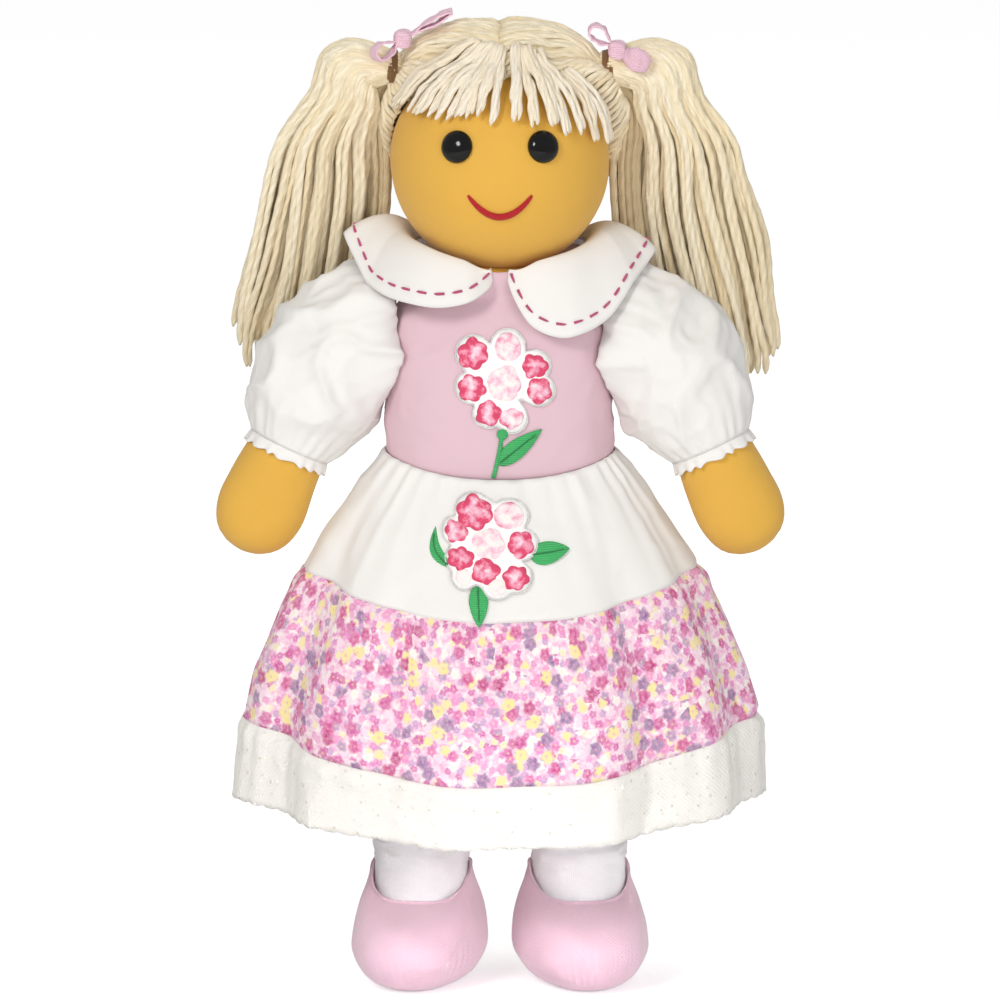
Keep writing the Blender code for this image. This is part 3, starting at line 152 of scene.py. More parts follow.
class DollSizes(bpy.types.PropertyGroup):
    """Sizes of the doll's cloth, hair and trimmings."""

    cloth: length("Cloth thickness", 0.0010, "Thickness of the dress cotton")
    ease: length("Ease", 0.0010, "Room between the body and the dress")
    head_half_width: length("Head half width", 0.0470, "Half the width of the face")
    head_half_depth: length("Head half depth", 0.0440, "Half the head from front to back")
    head_half_height: length("Head half height", 0.0480, "Half the head from chin to crown")
    head_rise: length("Head rise", 0.0506, "Middle of the head above the neck's pivot")
    eye_spacing: length("Eye spacing", 0.0366, "Between the middles of the eyes")
    eye_rise: length("Eye rise", 0.0118, "Eyes above the middle of the head")
    eye_radius: length("Eye radius", 0.0071, "Radius of an eye's dome")
    eye_height: length("Eye height", 0.0042, "How far an eye stands out")
    mouth_half_width: length("Mouth half width", 0.0137, "Half the width of the smile")
    mouth_drop: length("Mouth drop", 0.0180, "Smile below the middle of the head")
    mouth_curve: length("Mouth curve", 0.0093, "How far the corners of the smile rise")
    mouth_radius: length("Mouth thickness", 0.0016, "Half the smile's thickness at its middle")
    hair_half_width: length("Wig half width", 0.0510, "Half the width of the wig under its top strands")
    hair_half_depth: length("Wig half depth", 0.0500, "Half the depth of the wig under its top strands")
    hair_half_height: length("Wig half height", 0.0600, "Height of the wig over the head's middle")
    yarn_radius: length("Yarn radius", 0.0015, "Radius of one strand of hair yarn")
    yarn_pitch: length("Yarn pitch", 0.0190, "Length in which the two plies turn once")
    bunch_drop: length("Bunch drop", 0.1470, "Length of a bunch of hair below its tie")
    bunch_reach: length("Bunch reach", 0.0340, "How far a bunch falls outwards")
    bunch_back: length("Bunch back", 0.0480, "How far a bunch falls backwards")
    bunch_half_width: length("Bunch half width", 0.0270, "Half the width of a bunch of hair")
    bunch_half_depth: length("Bunch half depth", 0.0170, "Half the depth of a bunch of hair")
    arm_length: length("Arm length", 0.1130, "From the shoulder to the tip of the hand")
    wrist_at: length("Wrist distance", 0.0635, "From the shoulder to the cuff")
    wrist_radius: length("Wrist radius", 0.0165, "Radius of the arm at the cuff")
    hand_radius: length("Hand radius", 0.0190, "Half the width of the hand")
    arm_top_radius: length("Arm top radius", 0.0125, "Radius of the arm where it is sewn on")
    puff_radius: length("Puff radius", 0.0285, "Radius of the sleeve's puff")
    waist_above_hip: length("Waist above hip", 0.0530, "Waist seam above the hips, at the sides")
    waist_dip: length("Waist dip", 0.0080, "How far the waist seam dips at the front and back")
    hem_half_width: length("Hem half width", 0.1120, "Half the width of the skirt at its hem")
    hem_half_depth: length("Hem half depth", 0.0770, "Half the depth of the skirt at its hem")
    skirt_length: length("Skirt length", 0.1495, "From the waist seam to the hem")
    skirt_front_extra: length("Skirt front extra", 0.0045, "Extra length at the front and back")
    skirt_fold: length("Skirt fold", 0.0032, "Depth of the skirt's large folds")
    collar_half_width: length("Collar half width", 0.0665, "Reach of the collar over a shoulder")
    collar_half_depth: length("Collar half depth", 0.0390, "Reach of the collar to the front")
    collar_drop: length("Collar drop", 0.0190, "How low the left leaf hangs")
    collar_lift: length("Collar lift", 0.0115, "How high the collar stands over a shoulder")
    stitch: length("Stitch length", 0.0044, "Length of one running stitch")
    stitch_gap: length("Stitch gap", 0.0033, "Gap between running stitches")
    leg_length: length("Leg length", 0.1700, "From the floor to the hip band")
    leg_half_width: length("Leg half width", 0.0200, "Half the width of a leg")
    ankle_x: length("Ankle place", 0.0340, "Ankle's distance from the middle")
    sock_radius: length("Sock radius", 0.0196, "Radius of a sock")
    shoe_half_width: length("Shoe half width", 0.0284, "Half the width of a shoe")
    shoe_front: length("Shoe front", 0.0520, "From the ankle's middle to the toe")
    shoe_back: length("Shoe back", 0.0240, "From the ankle's middle to the heel")
    shoe_height: length("Shoe height", 0.0500, "Height of the shoe at the heel")
    throat_drop: length("Throat drop", 0.0140, "How far the opening falls to the front")


class DollColours(bpy.types.PropertyGroup):
    """Dyes of the doll's cloth, hair and trimmings; the hair yarn's three colours are its painted light and
    shade.
    """

    skin: dye("Skin cotton", "#E3B04A", "Mustard cotton of the head and hands")
    # The three hair colours are one cream yarn: lit as painted light, in painted shade, and in the deeper
    # painted shade of a bunch's gaps
    hair: dye("Hair yarn", "#FFF6DE", "Cream yarn where it catches the light")
    hair_shaded: dye("Hair yarn, deep", "#F8E6C0", "Cream yarn in its deeper strands")
    hair_gap_shade: dye("Hair yarn, inside", "#B2966A", "Cream yarn in the gaps of a bunch")
    white: dye("White cotton", "#F3F0EA", "Off-white dress cotton")
    linen: dye("Pink linen", "#E6C6CF", "Dusty pink of the bodice")
    shoe: dye("Shoe cloth", "#F7D1E1", "Pink of the shoes")
    sock: dye("Sock knit", "#FCFAFC", "White knit with a lilac cast")
    bow: dye("Bow ribbon", "#FACFE0", "Pink of the ribbon bows")
    stitching: dye("Running stitch", "#DB5C8E", "Magenta thread on the collar")
    mouth: dye("Mouth thread", "#CE1622", "Red thread of the smile")
    leaf: dye("Leaf green", "#45BC6B", "Green of the applique leaves")
    petal: dye("Petal pink", "#F09DB5", "Light pink of the petals")
    petal_deep: dye("Petal red", "#E04C70", "Deep pink of the petals")


def sizes():
    return bpy.context.scene.doll_sizes


def colours():
    return bpy.context.scene.doll_colours


# Shapes that the pieces share


def smooth(share):
    share = min(max(share, 0.0), 1.0)
    return share * share * (3 - 2 * share)


def blended(table, share):
    """Row of a table of shares at this place along its first column, on a smooth curve."""
    last = len(table) - 1
    at = 0
    while at < last - 1 and table[at + 1][0] < share:
        at += 1
    low, high = table[at], table[at + 1]
    t = min(max((share - low[0]) / (high[0] - low[0]), 0.0), 1.0)
    before = table[max(at - 1, 0)]
    after = table[min(at + 2, last)]
    row = []
    for i in range(1, len(low)):
        slope_low = (high[i] - before[i]) / (high[0] - before[0]) * (high[0] - low[0])
        slope_high = (after[i] - low[i]) / (after[0] - low[0]) * (high[0] - low[0])
        row.append(
            (2 * t**3 - 3 * t**2 + 1) * low[i]
            + (t**3 - 2 * t**2 + t) * slope_low
            + (3 * t**2 - 2 * t**3) * high[i]
            + (t**3 - t**2) * slope_high
        )
    return row


def curve_point(points, share):
    """Place on a smooth curve through the points, so many steps from its first point."""
    last = len(points) - 1
    at = min(int(share), last - 1)
    t = share - at
    p0, p1 = points[max(at - 1, 0)], points[at]
    p2, p3 = points[at + 1], points[min(at + 2, last)]
    return p1 + 0.5 * t * (p2 - p0 + t * (2 * p0 - 5 * p1 + 4 * p2 - p3 + t * (3 * (p1 - p2) + p3 - p0)))


def along_curve(points, count):
    """Evenly numbered places on a smooth curve through the points."""
    return [curve_point(points, k / (count - 1) * (len(points) - 1)) for k in range(count)]


def oval(angle, roundness=2.0):
    """Unit point of a rounded oval, at an angle in radians from its first axis."""
    c, s = cos(angle), sin(angle)
    power = 2 / roundness
    return copysign(abs(c) ** power, c), copysign(abs(s) ** power, s)


def circle(count, whole=2 * pi):
    """Angles evenly round a circle, in radians unless its whole is given in degrees."""
    return [whole * i / count for i in range(count)]


def shares(count):
    """Even steps from 0 to 1."""
    return [i / count for i in range(count + 1)]


def grid(lines, columns, point):
    """Rows of points, one row to a line."""
    return [[point(line, column) for column in columns] for line in lines]


def ring(centre, across, along, count):
    """Points round a centre; across and along are half-size vectors."""
    places = [oval(angle) for angle in circle(count)]
    return [Vector(centre) + a * Vector(across) + b * Vector(along) for a, b in places]


def level_way(angle):
    """Level direction at an angle round from +X."""
    return Vector((cos(angle), sin(angle), 0))


def rumple(place, size, seed=0.0):
    """Soft random rise and fall of cloth, between about -1 and 1, with lumps of this size."""
    return noise.noise(Vector(place) / size + Vector((seed, seed * 0.7, -seed))) * 1.6


def crease(place, size, seed=0.0):
    """Creased cloth: 1 on the ridge of a crease and 0 away from it."""
    value = abs(noise.noise(Vector(place) / size + Vector((seed, -seed, seed * 0.3))))
    return max(1 - 3.2 * value, 0.0) ** 1.5


def make_piece(name, points, faces, material, shades=None):
    """Mesh object with one material. A face is its points and their places on the cloth, in metres."""
    mesh = bpy.data.meshes.new(name)
    mesh.from_pydata([tuple(p) for p in points], [], [face for face, places in faces])
    mesh.uv_layers.new(name="cloth")
    mesh.uv_layers[0].data.foreach_set("uv", [v for face, places in faces for place in places for v in place])
    mesh.shade_smooth()
    mesh.materials.append(material)
    mesh.update()
    piece = bpy.data.objects.new(name, mesh)
    bpy.context.scene.collection.objects.link(piece)
    if shades:
        mesh.attributes.new("shade", "FLOAT", "POINT").data.foreach_set("value", shades)
    return piece


def turned(face, places, turn=True):
    """A face and its places on the cloth, seen from its other side."""
    return (tuple(face[::-1]), list(places[::-1])) if turn else (tuple(face), list(places))


def running_lengths(places):
    """How far along its line each place lies."""
    lengths = [0.0]
    for a, b in zip(places, places[1:]):
        lengths.append(lengths[-1] + (b - a).length)
    return lengths


def spans(rows, closed=True):
    """Place on the cloth of each row and column: the widest row's length, and the mean height."""
    widest = list(max(rows, key=lambda row: running_lengths(row)[-1]))
    down = [0.0]
    for low, high in zip(rows, rows[1:]):
        down.append(down[-1] + sum((b - a).length for a, b in zip(low, high)) / len(low))
    return running_lengths(widest + widest[:1] if closed else widest), down


def row_normals(rows, closed):
    """Outward direction at each point of a grid of points."""
    last = len(rows[0]) - 1
    normals = []
    for j, row in enumerate(rows):
        up, below = rows[max(j - 1, 0)], rows[min(j + 1, len(rows) - 1)]
        before = [row[last if closed else 0]] + row[:-1]
        after = row[1:] + [row[0 if closed else last]]
        normals.append(
            [(right - left).cross(b - a).normalized() for left, right, a, b in zip(before, after, up, below)]
        )
    return normals


def squares(rows, around, down, closed=True):
    """The squares of a grid of points, with their places on the cloth."""
    count = len(rows[0])
    for j in range(len(rows) - 1):
        for i in range(count if closed else count - 1):
            k = (i + 1) % count
            a, b, c, d = around[i], around[i + 1], -down[j], -down[j + 1]
            quad = (j * count + i, j * count + k, (j + 1) * count + k, (j + 1) * count + i)
            yield quad, ((a, c), (b, c), (b, d), (a, d))


def cloth_piece(name, rows, material, closed=False, thickness=None, inside=None):
    """Cloth with a grid of points as its outer face, row by row, and its edges closed.

    The inner face lies on the side of the point inside, or else of the middle of all the points.
    """
    thickness = sizes().cloth if thickness is None else thickness
    around, down = spans(rows, closed)
    normals = row_normals(rows, closed)
    count, height = len(rows[0]), len(rows)
    points = [p for row in rows for p in row]
    middle = sum(points, Vector()) / len(points) if inside is None else Vector(inside)
    outward = sum((p - middle).dot(n) for row, line in zip(rows, normals) for p, n in zip(row, line))
    flip = outward < 0
    for row, line in zip(rows, normals):
        points += [p + (thickness if flip else -thickness) * n for p, n in zip(row, line)]
    offset = count * height
    faces = []
    for quad, places in squares(rows, around, down, closed):
        faces.append(turned(quad, places, flip))
        faces.append(turned([q + offset for q in quad], places, not flip))
    for i in range(count if closed else count - 1):
        k = (i + 1) % count
        base = (height - 1) * count
        for a, b, row, top in ((i, k, down[0], True), (base + i, base + k, down[-1], False)):
            places = [(around[i], -row), (around[i + 1], -row), (around[i + 1], -row), (around[i], -row)]
            faces.append(turned([a, b, b + offset, a + offset], places, top != flip))
    if not closed:
        for j in range(height - 1):
            for i, last in ((0, False), (count - 1, True)):
                a, b = j * count + i, (j + 1) * count + i
                places = [(around[i], -down[j]), (around[i], -down[j + 1])]
                faces.append(turned([a, b, b + offset, a + offset], places + places[::-1], last != flip))
    return make_piece(name, points, faces, material)


def solid_piece(name, rings, material):
    """Closed skin over rings of equal count, with a middle point at each end."""
    around, down = spans(rings)
    count = len(rings[0])
    points = [p for row in rings for p in row]
    faces = list(squares(rings, around, down))
    for start, row, first in ((0, down[0], True), ((len(rings) - 1) * count, down[-1], False)):
        middle = len(points)
        points.append(sum(points[start : start + count], Vector()) / count)
        for i in range(count):
            places = [(around[i], -row), (around[i + 1], -row), (around[i], -row)]
            faces.append(turned([start + i, start + (i + 1) % count, middle], places, first))
    return make_piece(name, points, faces, material)


def yarn_piece(name, strands, material, step=0.0022, shaded_ends=(0.0, 0.0)):
    """Two-ply strands in one mesh. A strand is its path, its radius and its shade from 0 to 1.

    The map runs round each strand with its twist, and along it in metres. Painted shade darkens
    the start and the end by the two shares given, over a fade's length, and the tips narrow.
    """
    pitch = sizes().yarn_pitch
    sides, tip, fade, lump = 6, 0.3, 0.007, 0.008
    points, faces, shades = [], [], []
    for path, radius, shade in strands:
        count = max(int(running_lengths(path)[-1] / step), 4)
        places = along_curve(path, count)
        first = len(points)
        normal = (places[1] - places[0]).orthogonal().normalized()
        lengths = running_lengths(places)
        twist = [at / pitch + 1.4 * shade for at in lengths]
        for k, place in enumerate(places):
            tangent = (places[min(k + 1, count - 1)] - places[max(k - 1, 0)]).normalized()
            normal = (normal - normal.dot(tangent) * tangent).normalized()
            side = tangent.cross(normal)
            near_end = min((lengths[-1] - lengths[k]) / (2.2 * radius), 1.0)
            size = radius * (tip + (1 - tip) * sqrt(near_end))
            size *= 1 + 0.10 * noise.noise((lengths[k] / lump, 9 * shade, 0))
            # Painted shade towards the roots and the ends
            darker = 1 - shaded_ends[0] * exp(-lengths[k] / fade)
            darker *= 1 - shaded_ends[1] * exp((lengths[k] - lengths[-1]) / fade)
            for angle in circle(sides):
                bulge = size * (0.93 + 0.09 * cos(2 * angle - 4 * pi * twist[k]))
                points.append(place + bulge * (cos(angle) * normal + sin(angle) * side))
                shades.append(shade * darker)
        for k in range(count - 1):
            for i in range(sides):
                j = (i + 1) % sides
                low, high = first + k * sides, first + (k + 1) * sides
                u, v = i / sides, (i + 1) / sides
                a, b, c, d = lengths[k], lengths[k + 1], twist[k], twist[k + 1]
                places = ((u - c, a), (v - c, a), (v - d, b), (u - d, b))
                faces.append(((low + i, low + j, high + j, high + i), places))
        for base, end in ((first, 0), (first + (count - 1) * sides, -1)):
            cap = range(base, base + sides)
            faces.append(turned(cap, [(0.0, lengths[end])] * sides, end == 0))
    return make_piece(name, points, faces, material, shades)


# Materials. A noise's scale is its lumps to the metre of cloth.


def add_node(tree, kind, inputs=(), stops=(), **settings):
    """Add a node and give its first output. A kind may say its operation or type after a space.

    Inputs are values, or outputs to link to them, in the order of the open sockets or by socket name.
    Stops are the places and colours of a ramp, and settings are the node's own.
    """
    kind, *choice = kind.split()
    made = tree.nodes.new("ShaderNode" + kind)
    for value in choice:
        setattr(made, "data_type" if kind == "Mix" else "operation", value)
    for name, value in settings.items():
        setattr(made, name, value)
    for k, (position, colour) in enumerate(stops):
        elements = made.color_ramp.elements
        stop = elements[k] if k < 2 else elements.new(position)
        stop.position, stop.color = position, colour
    open_sockets = [socket for socket in made.inputs if socket.enabled]
    for key, value in inputs.items() if isinstance(inputs, dict) else enumerate(inputs):
        socket = made.inputs[key] if isinstance(key, str) else open_sockets[key]
        if isinstance(value, bpy.types.NodeSocket):
            tree.links.new(value, socket)
        else:
            socket.default_value = value
    return next(output for output in made.outputs if output.enabled)


def start_material(name, roughness, sheen=0.0, specular=0.35):
    """A new material, the way to add its nodes, its cloth map and the map's two coordinates."""
    material = bpy.data.materials.new(name)
    material.use_nodes = True
    inputs = material.node_tree.nodes["Principled BSDF"].inputs
    inputs["Roughness"].default_value = roughness
    inputs["Specular IOR Level"].default_value = specular
    inputs["Sheen Weight"].default_value = sheen
    inputs["Sheen Roughness"].default_value = 0.5
    add = functools.partial(add_node, material.node_tree)
    place = add("UVMap", uv_map="cloth")
    parts = add("SeparateXYZ", (place,)).node.outputs
    return material, add, place, parts[0], parts[1]


def cover(material, tone, height=None, depth=0.0, rough=None):
    """Give a material its colour, its relief and its roughness."""
    tree = material.node_tree
    found = {"Base Color": tone, "Roughness": rough}
    if height is not None:
        found["Normal"] = add_node(tree, "Bump", {"Height": height, "Distance": depth})
    for name, output in found.items():
        if output is not None:
            tree.links.new(output, tree.nodes["Principled BSDF"].inputs[name])
    return material


def rgba(colour, share=1.0):
    """The colour with its brightness times a share."""
    return tuple(min(part * share, 1.0) for part in colour[:3]) + (1.0,)


def wave(add, coordinate, width, shape="SINE"):
    """Waves of this width in millimetres, from -1 to 1."""
    turn = add("Math MULTIPLY", (coordinate, 2 * pi / (width * MILLIMETRE)))
    return add(f"Math {shape}", (turn,))


def weave(add, across, down, thread):
    """Height of a plain weave with this thread spacing in millimetres, from -1 to 1."""
    threads = (wave(add, across, 2 * thread), wave(add, down, 2 * thread))
    return add("Math MULTIPLY", threads)


def cotton(name, colour, wear=0.06, depth=0.00006, roughness=0.85):
    """Plain-woven cotton. Its matt threads give a faint grain, and handling leaves it a little uneven.

    The real thread is about 0.4 mm apart, which is too fine to show, so it is drawn at 0.9 mm.
    """
    material, add, place, across, down = start_material(name, roughness, 0.15)
    patch = add("TexNoise", (place, 45.0, 4.0))
    slub = add("TexNoise", (place, 900.0, 2.0))
    tone = add("Mix RGBA", (patch, rgba(colour, 1 - wear), rgba(colour, 1 + wear * 0.6)))
    worn = add("Math MULTIPLY", (slub, 0.5))
    tone = add("Mix RGBA", (worn, tone, rgba(colour, 1 - wear * 1.2)))
    rough = add("Math MULTIPLY_ADD", (slub, 0.12, roughness - 0.06))
    height = add("Math MULTIPLY_ADD", (slub, 1.2, weave(add, across, down, 0.9)))
    return cover(material, tone, height, depth, rough)


def slubbed_linen(name, colour):
    """Linen-look cloth. Uneven upright threads give fine darker and lighter lines.

    The real slubs are finer than the picture shows, so they are drawn 1 to 2 mm wide.
    """
    material, add, place, across, down = start_material(name, 0.82, 0.2)
    upright = add("Mapping", {"Vector": place, "Scale": (620.0, 38.0, 1.0)})
    line = add("TexNoise", (upright, 0.9, 3.0))
    lying = add("Mapping", {"Vector": place, "Scale": (60.0, 1100.0, 1.0)})
    cross = add("TexNoise", (lying, 0.9, 2.0))
    patch = add("TexNoise", (place, 60.0, 3.0))
    share = add("Math MULTIPLY_ADD", (line, 0.75, add("Math MULTIPLY", (cross, 0.25))))
    tone = add("ValToRGB", (share,), ((0.42, rgba(colour, 0.80)), (0.56, rgba(colour, 1.10))))
    dull = add("Math MULTIPLY", (patch, 0.30))
    tone = add("Mix RGBA", (dull, tone, rgba(colour, 0.90)))
    grain = add("Math MULTIPLY", (weave(add, across, down, 0.8), 0.6))
    return cover(material, tone, add("Math MULTIPLY_ADD", (line, 2.0, grain)), 0.00009)


def two_ply_yarn(name, light, deep, gap):
    """Loosely spun two-ply yarn. Fine fibres run along each ply, and a groove in painted shade winds between
    the plies.
    """
    material, add, _, around, down = start_material(name, 0.75, 0.15)
    ply = add("Math COSINE", (add("Math MULTIPLY", (around, 4 * pi)),))
    groove = add("Math MULTIPLY_ADD", (ply, -0.5, 0.5))
    parts = [add("Math MULTIPLY", (way, lumps)) for way, lumps in ((around, 15.0), (down, 150.0))]
    fluff = add("TexNoise", {"Vector": add("CombineXYZ", parts), "Scale": 1.0, "Detail": 3.0})
    # A strand's shade picks its tone: the gap colour is painted shade deep in a bunch, the deep colour the
    # yarn in painted shade, the light colour the yarn where it catches the light; it also differs at random
    # from strand to strand
    shade = add("Attribute", attribute_name="shade").node.outputs["Fac"]
    tone = add("ValToRGB", (shade,), ((0.0, rgba(gap)), (0.45, rgba(deep)), (1.0, rgba(light))))
    # Painted shade in the groove between the plies
    sunk = add("Math MULTIPLY", (groove, 0.36))
    tone = add("Mix RGBA", (sunk, tone, rgba(deep, 0.78)))
    fibre = add("Math SUBTRACT", (fluff, 0.34))
    fibre = add("Math MULTIPLY", (fibre, 2.2), use_clamp=True)
    fibre = add("Math MULTIPLY", (fibre, 0.36))
    tone = add("Mix RGBA", (fibre, tone, rgba(deep, 0.80)))
    height = add("Math MULTIPLY_ADD", (fluff, 2.4, add("Math MULTIPLY", (ply, 0.6))))
    return cover(material, tone, height, 0.00022)


def flower_layer(add, place, spacing, offset, share, ground, tones, heart):
    """One scattering of little printed flowers over a ground colour, their edges run like watercolour."""
    run = add("TexNoise", (place, 420.0, 3.0)).node.outputs["Color"]
    run = add("VectorMath SCALE", (run, 1.7 * MILLIMETRE))
    moved = add("VectorMath", (add("Mapping", {"Vector": place, "Location": offset}), run))
    cell = {"Vector": moved, "Scale": 1 / (spacing * MILLIMETRE), "Randomness": 0.9}
    cells = add("TexVoronoi", cell, voronoi_dimensions="2D").node.outputs
    middle, distance = cells["Position"], cells["Distance"]
    away = add("VectorMath SUBTRACT", (moved, middle))
    away = add("SeparateXYZ", (away,)).node.outputs
    angle = add("Math ARCTAN2", (away[1], away[0]))
    chance = add("TexWhiteNoise", (middle,), noise_dimensions="2D")
    turned = add("Math MULTIPLY", (chance, 6.0))
    petals = add("Math MULTIPLY_ADD", (angle, 5.0, turned))
    petals = add("Math COSINE", (petals,))
    edge = add("Math MULTIPLY_ADD", (petals, 0.05, 0.29))
    blot = add("TexNoise", (moved, 520.0, 3.0, 0.6))
    edge = add("Math MULTIPLY_ADD", (blot, 0.42, add("Math SUBTRACT", (edge, distance))))
    inside = add("Math SUBTRACT", (edge, 0.03))
    inside = add("Math MULTIPLY", (inside, 6.0), use_clamp=True)
    present = add("Math LESS_THAN", (chance, share))
    stops = [(i / len(tones), rgba(linear(tone))) for i, tone in enumerate(tones)]
    ink = add("ValToRGB", (add("Math DIVIDE", (chance, share)),), stops)
    ink.node.color_ramp.interpolation = "CONSTANT"
    pale = add("Math SUBTRACT", (blot, 0.30))
    pale = add("Math MULTIPLY", (pale, 1.1), use_clamp=True)
    washed = add("Mix RGBA", (pale, ink, rgba(linear("#F6DCE6"))))
    inside = add("Math MULTIPLY", (inside, present))
    tone = add("Mix RGBA", (inside, ground, washed))
    eye = add("Math SUBTRACT", (0.13, distance))
    eye = add("Math MULTIPLY", (eye, 6.0), use_clamp=True)
    eye = add("Math MULTIPLY", (eye, present))
    return add("Mix RGBA", (eye, tone, rgba(linear(heart))))


def ditsy_print(name):
    """Cotton printed with a close scatter of tiny watery flowers, 3 to 6 mm across."""
    material, add, place, across, down = start_material(name, 0.85, 0.15)
    wash = add("TexNoise", (place, 330.0, 3.0, 0.6))
    wash = add("Math SUBTRACT", (wash, 0.36))
    wash = add("Math MULTIPLY", (wash, 3.2), use_clamp=True)
    tone = add("Mix RGBA", (wash, rgba(linear("#FAF1EE")), rgba(linear("#EDA9CF"))))
    # Each layer: millimetres between flowers, offset, share of places with a flower, heart and petals
    for spacing, x, y, share, heart, tones in (
        (4.0, 0.31, 0.77, 0.85, "#F0C9DC", "#EB9ACB #E07BBD #F8DCE8 #D35AA6 #F5EDB4 #C795C6"),
        (5.6, 0.12, 0.05, 0.62, "#F5E79C", "#DC5BAA #F3E691 #CB3B8F #FAF5EE #B489B6 #EA86C4"),
        (7.4, 0.53, 0.21, 0.46, "#E9A9C8", "#C01F74 #8D6396 #D03085 #96709B #F3E587 #CB4390"),
    ):
        tone = flower_layer(add, place, spacing, (x, y, 0.0), share, tone, tones.split(), heart)
    return cover(material, tone, weave(add, across, down, 0.9), 0.00005)


def eyelet_cotton(name, colour):
    """Broderie anglaise: stitched eyelets in rows, each a small hole in a raised ring of thread. The holes
    are not cut: each is a beige spot of painted shade.
    """
    material, add, place, across, down = start_material(name, 0.85, 0.15)
    spots = rings = 0.0
    for spacing, hole, offset in ((9.0, 0.07, (0.0, 0.0, 0.0)), (6.2, 0.05, (0.37, 0.11, 0.0))):
        moved = add("Mapping", {"Vector": place, "Location": offset})
        cell = {"Vector": moved, "Scale": 1 / (spacing * MILLIMETRE), "Randomness": 0.6}
        cells = add("TexVoronoi", cell, voronoi_dimensions="2D").node.outputs["Distance"]
        spots = add("Math MAXIMUM", (spots, add("Math LESS_THAN", (cells, hole))))
        near = add("Math SUBTRACT", (cells, hole * 1.9))
        near = add("Math ABSOLUTE", (near,))
        rim = add("Math MULTIPLY_ADD", (near, -9.0, 1.0), use_clamp=True)
        rings = add("Math MAXIMUM", (rings, rim))
    few = add("TexNoise", (place, 75.0, 2.0))
    few = add("Math GREATER_THAN", (few, 0.50))
    spots = add("Math MULTIPLY", (spots, few))
    patch = add("TexNoise", (place, 90.0, 5.0))
    tone = add("Mix RGBA", (patch, rgba(colour, 0.94), rgba(colour, 1.03)))
    # Painted shade: a beige spot stands in for the shadow seen through each hole
    hole = add("Math MULTIPLY", (spots, 0.42))
    tone = add("Mix RGBA", (hole, tone, rgba(linear("#C4B894"))))
    height = add("Math MULTIPLY_ADD", (rings, 2.0, weave(add, across, down, 1.0)))
    height = add("Math SUBTRACT", (height, add("Math MULTIPLY", (spots, 3.0))))
    return cover(material, tone, add("Math MULTIPLY_ADD", (patch, 3.0, height)), 0.00009)


def satin_stitch(name, colour, thread=0.55):
    """Threads laid side by side across a narrow shape, each with a painted highlight along it and painted
    shade between.
    """
    material, add, _, _, down = start_material(name, 0.45, 0.1, 0.5)
    line = wave(add, down, thread)
    share = add("Math MULTIPLY_ADD", (line, 0.5, 0.5))
    tone = add("Mix RGBA", (share, rgba(colour, 0.72), rgba(colour, 1.12)))
    return cover(material, tone, line, 0.00012)


def knitted(name, colour, depth):
    """Fine knit. Its stitches stand in upright ribs, drawn 0.9 mm apart, as the real ones are too fine."""
    material, add, place, across, down = start_material(name, 0.85, 0.25)
    height = (wave(add, down, 0.72), 0.5, wave(add, across, 0.9))
    height = add("Math MULTIPLY_ADD", height)
    patch = add("TexNoise", (place, 70.0, 3.0))
    tone = add("Mix RGBA", (patch, rgba(colour, 0.93), rgba(colour, 1.03)))
    # Painted shade: the ribs' relief darkens the tone a little
    sunk = add("Math MULTIPLY_ADD", (height, 0.06, 0.09))
    tone = add("Mix RGBA", (sunk, tone, rgba(colour, 0.86)))
    return cover(material, tone, height, depth)


def brushed_cloth(name, colour):
    """Brushed cotton. A short soft nap blurs the weave and catches light at the edges."""
    material, add, place, across, down = start_material(name, 0.9, 0.45)
    nap = add("TexNoise", (place, 1300.0, 4.0))
    patch = add("TexNoise", (place, 70.0, 4.0))
    tone = add("Mix RGBA", (patch, rgba(colour, 0.93), rgba(colour, 1.04)))
    sunk = add("Math MULTIPLY", (nap, 0.35))
    tone = add("Mix RGBA", (sunk, tone, rgba(colour, 0.86)))
    grain = add("Math MULTIPLY", (weave(add, across, down, 1.1), 0.5))
    return cover(material, tone, add("Math MULTIPLY_ADD", (nap, 2.5, grain)), 0.00008)


def printed_petal(name, light, deep):
    """Cotton printed in watery pinks, with paler blots where the wash has run."""
    material, add, place, across, down = start_material(name, 0.8, 0.15)
    wash = add("TexNoise", (place, 250.0, 3.0, 0.55))
    shade = add("Attribute", attribute_name="shade").node.outputs["Fac"]
    share = add("Math SUBTRACT", (wash, 0.52))
    share = add("Math MULTIPLY_ADD", (share, 1.9, shade))
    stops = (
        (0.0, rgba(linear("#FBF1EC"))),
        (0.26, rgba(linear("#F7D3DF"))),
        (0.50, rgba(light)),
        (0.74, rgba(deep)),
        (1.0, rgba(deep, 0.88)),
    )
    height = add("Math", (wash, weave(add, across, down, 0.9)))
    return cover(material, add("ValToRGB", (share,), stops), height, 0.00006)


def polished_eye(name):
    """Moulded black plastic with a polished dome, which shows little but the lamps."""
    material, add, place, *_ = start_material(name, 0.12, 0.0, 0.40)
    dust = add("TexNoise", (place, 700.0, 3.0))
    tone = add("Mix RGBA", (dust, rgba(linear("#030303")), rgba(linear("#0C0A09"))))
    return cover(material, tone, rough=add("Math MULTIPLY_ADD", (dust, 0.06, 0.08)))


def moulded_plastic(name):
    """Natural moulded plastic, slightly cloudy."""
    material, add, *_ = start_material(name, 0.45)
    cloud = add("TexNoise", {"Scale": 300.0, "Detail": 2.0})
    tone = add("Mix RGBA", (cloud, rgba(linear("#DAD8CF")), rgba(linear("#EFEDE6"))))
    return cover(material, tone)


